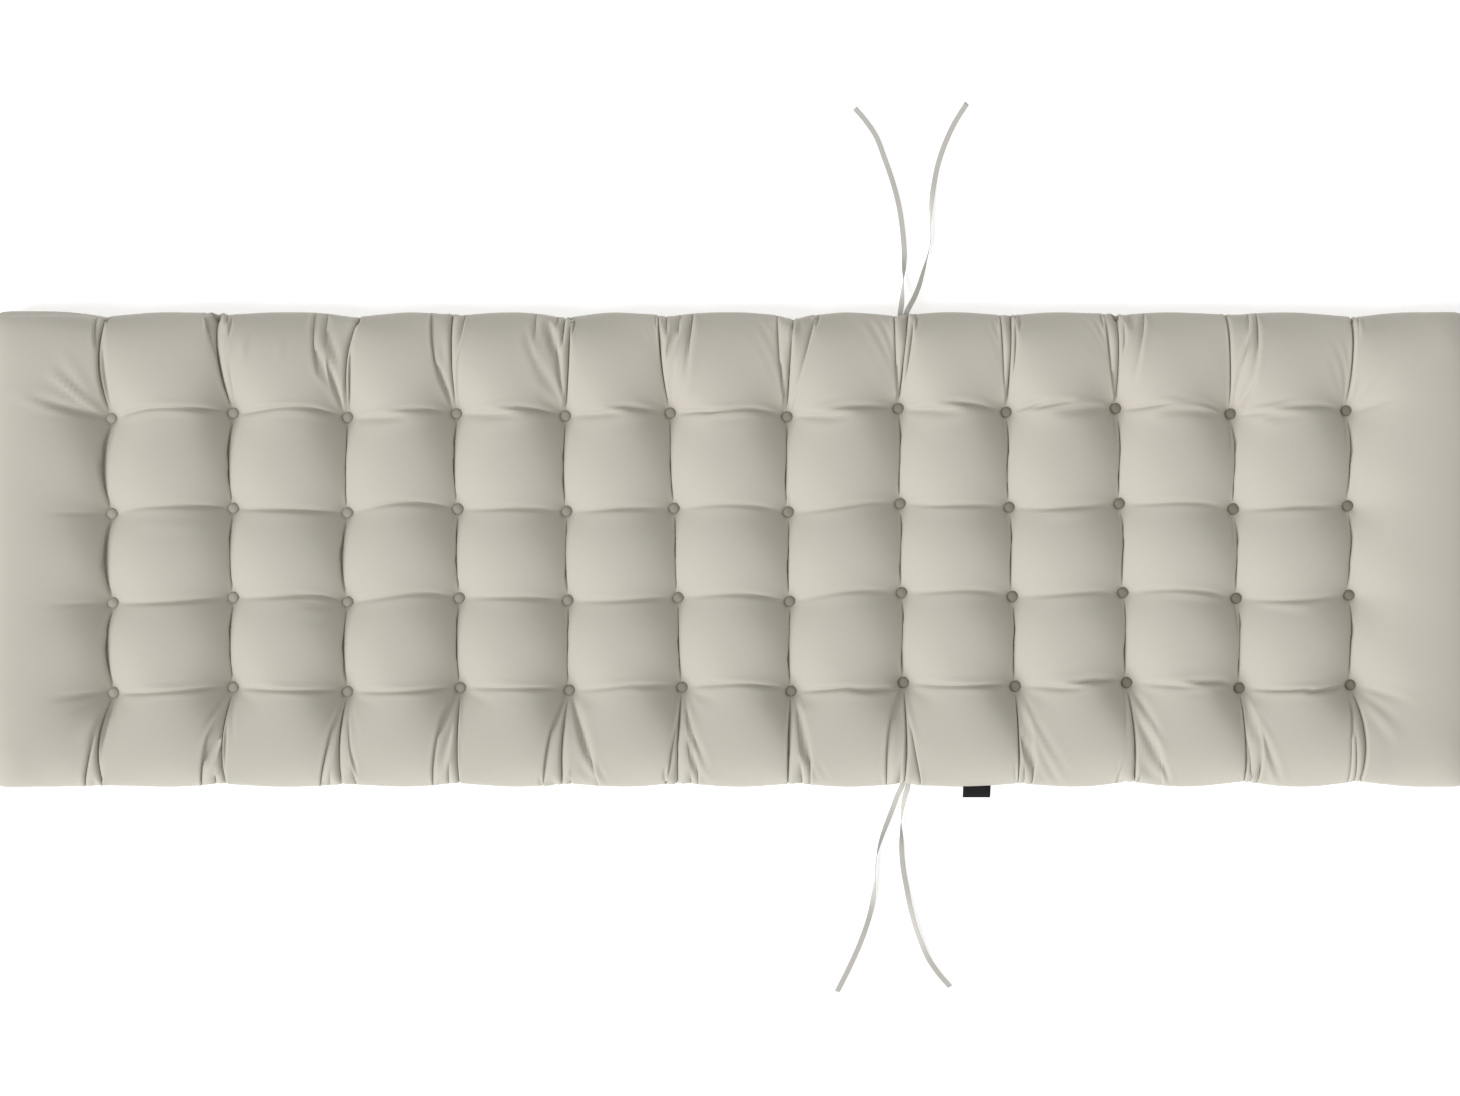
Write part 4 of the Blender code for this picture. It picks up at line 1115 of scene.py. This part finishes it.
def strip(name, rows, wide, thick, step, bead=0.0, slant=0.0):
    """A flat band with rounded selvedges along the rows: the piece and its middle line in millimetres. bead thickens the selvedges; slant cuts the free end askew."""
    rows = through(rows, step)
    rows[:, 2] = np.maximum(rows[:, 2], thick / 2 + 0.08)
    middle = rows[:, :3]
    run = np.gradient(middle, axis=0)
    run /= np.linalg.norm(run, axis=1)[:, None]
    flat = np.cross(run, (0.0, 0.0, 1.0))
    flat /= np.linalg.norm(flat, axis=1)[:, None]
    up = np.cross(flat, run)
    turn = np.radians(rows[:, 3])[:, None]
    across = flat * np.cos(turn) + up * np.sin(turn)
    over = up * np.cos(turn) - flat * np.sin(turn)
    # half of the section, from one selvedge over the top to the other
    w, h = wide / 2, thick / 2
    top = [(-w, 0.35 * h), (-w + 0.25, 0.85 * h), (-w + 0.6, h * (1 + bead)), (-0.45 * w, h), (0.0, 0.96 * h), (0.45 * w, h), (w - 0.6, h * (1 + bead)), (w - 0.25, 0.85 * h), (w, 0.35 * h)]
    section = np.array(top + [(x, -z) for x, z in top[::-1]])
    n, sides = len(rows), len(section)
    points = middle[:, None] + across[:, None] * section[None, :, :1] + over[:, None] * section[None, :, 1:]
    points[-1] += run[-1] * (slant * section[:, :1] / wide)
    along = np.concatenate([[0], np.cumsum(np.linalg.norm(np.diff(middle, axis=0), axis=1))])
    points[..., 2] = np.maximum(points[..., 2], 0.05)
    places = np.stack([np.repeat(along[:, None], sides, 1), np.repeat(section[None, :, 0], n, 0)], -1)
    ends = [tuple(range(sides))[::-1], tuple((n - 1) * sides + i for i in range(sides))]
    piece = mesh_object(name, points.reshape(-1, 3) * MM, grid_faces(n, sides, wrap=True)[:, ::-1], [e[::-1] for e in ends], uv=places.reshape(-1, 2) * MM)
    return piece, middle


tape_look = tape("tape", (0.585, 0.575, 0.53), (0.545, 0.53, 0.485), 0.0011)
for name, rows in TIES.items():
    piece, middle = strip(name + "_tape", rows, TAPE_WIDTH, TAPE_THICK, TAPE_STEP, bead=0.06, slant=1.2 if name[-1] == "e" else -0.8)
    piece.data.materials.append(tape_look)
    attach(piece, "root")
    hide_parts(name)

label, _ = strip("label_woven", LABEL_ROWS, LABEL_X[1] - LABEL_X[0], LABEL_THICK, 0.8)
look = Look("label_black", (0.012, 0.012, 0.013), 0.7, spec=0.15)
look.weave(look.node("ShaderNodeTexCoord").outputs["UV"], 0.0006, 0.5, 0.0001)
label.data.materials.append(look.mat)
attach(label, "root")
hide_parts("label")

# ---------------------------------------------------------------- the stage
floor = mesh_object("floor", [(-30, -30, -0.0005), (30, -30, -0.0005), (30, 30, -0.0005), (-30, 30, -0.0005)], [(0, 1, 2, 3)])
floor_look = Look("floor_white", (0.96, 0.96, 0.96), 0.9, spec=0.1)
floor_look.shader.inputs["Emission Color"].default_value = (1, 1, 1, 1)
floor_look.shader.inputs["Emission Strength"].default_value = 0.42
floor.data.materials.append(floor_look.mat)


def sun(name, azimuth, elevation, soft, power, colour=(1, 1, 1)):
    """A soft distant light: azimuth is where it comes from, counted from +X towards +Y."""
    light = bpy.data.lights.new(name, "SUN")
    light.energy = power
    light.angle = math.radians(soft)
    light.color = colour
    obj = bpy.data.objects.new(name, light)
    bpy.context.scene.collection.objects.link(obj)
    a, e = math.radians(azimuth), math.radians(elevation)
    come = Vector((math.cos(a) * math.cos(e), math.sin(a) * math.cos(e), math.sin(e)))
    obj.rotation_euler = come.to_track_quat("Z", "Y").to_euler()
    return obj


sun("key", 215, 36, 34, 2.34)
world = bpy.data.worlds.new("studio")
bpy.context.scene.world = world
world.use_nodes = True
world.node_tree.nodes["Background"].inputs["Color"].default_value = (1, 1, 1, 1)
world.node_tree.nodes["Background"].inputs["Strength"].default_value = 0.52

camera = bpy.data.cameras.new("camera")
camera.sensor_width = 36.0
camera.lens = 36.0 * 3.0 / 1.844
eye = bpy.data.objects.new("camera", camera)
eye.location = (0.0, 0.002, 3.03)
bpy.context.scene.collection.objects.link(eye)
bpy.context.scene.camera = eye
bpy.context.scene.view_settings.view_transform = "Standard"
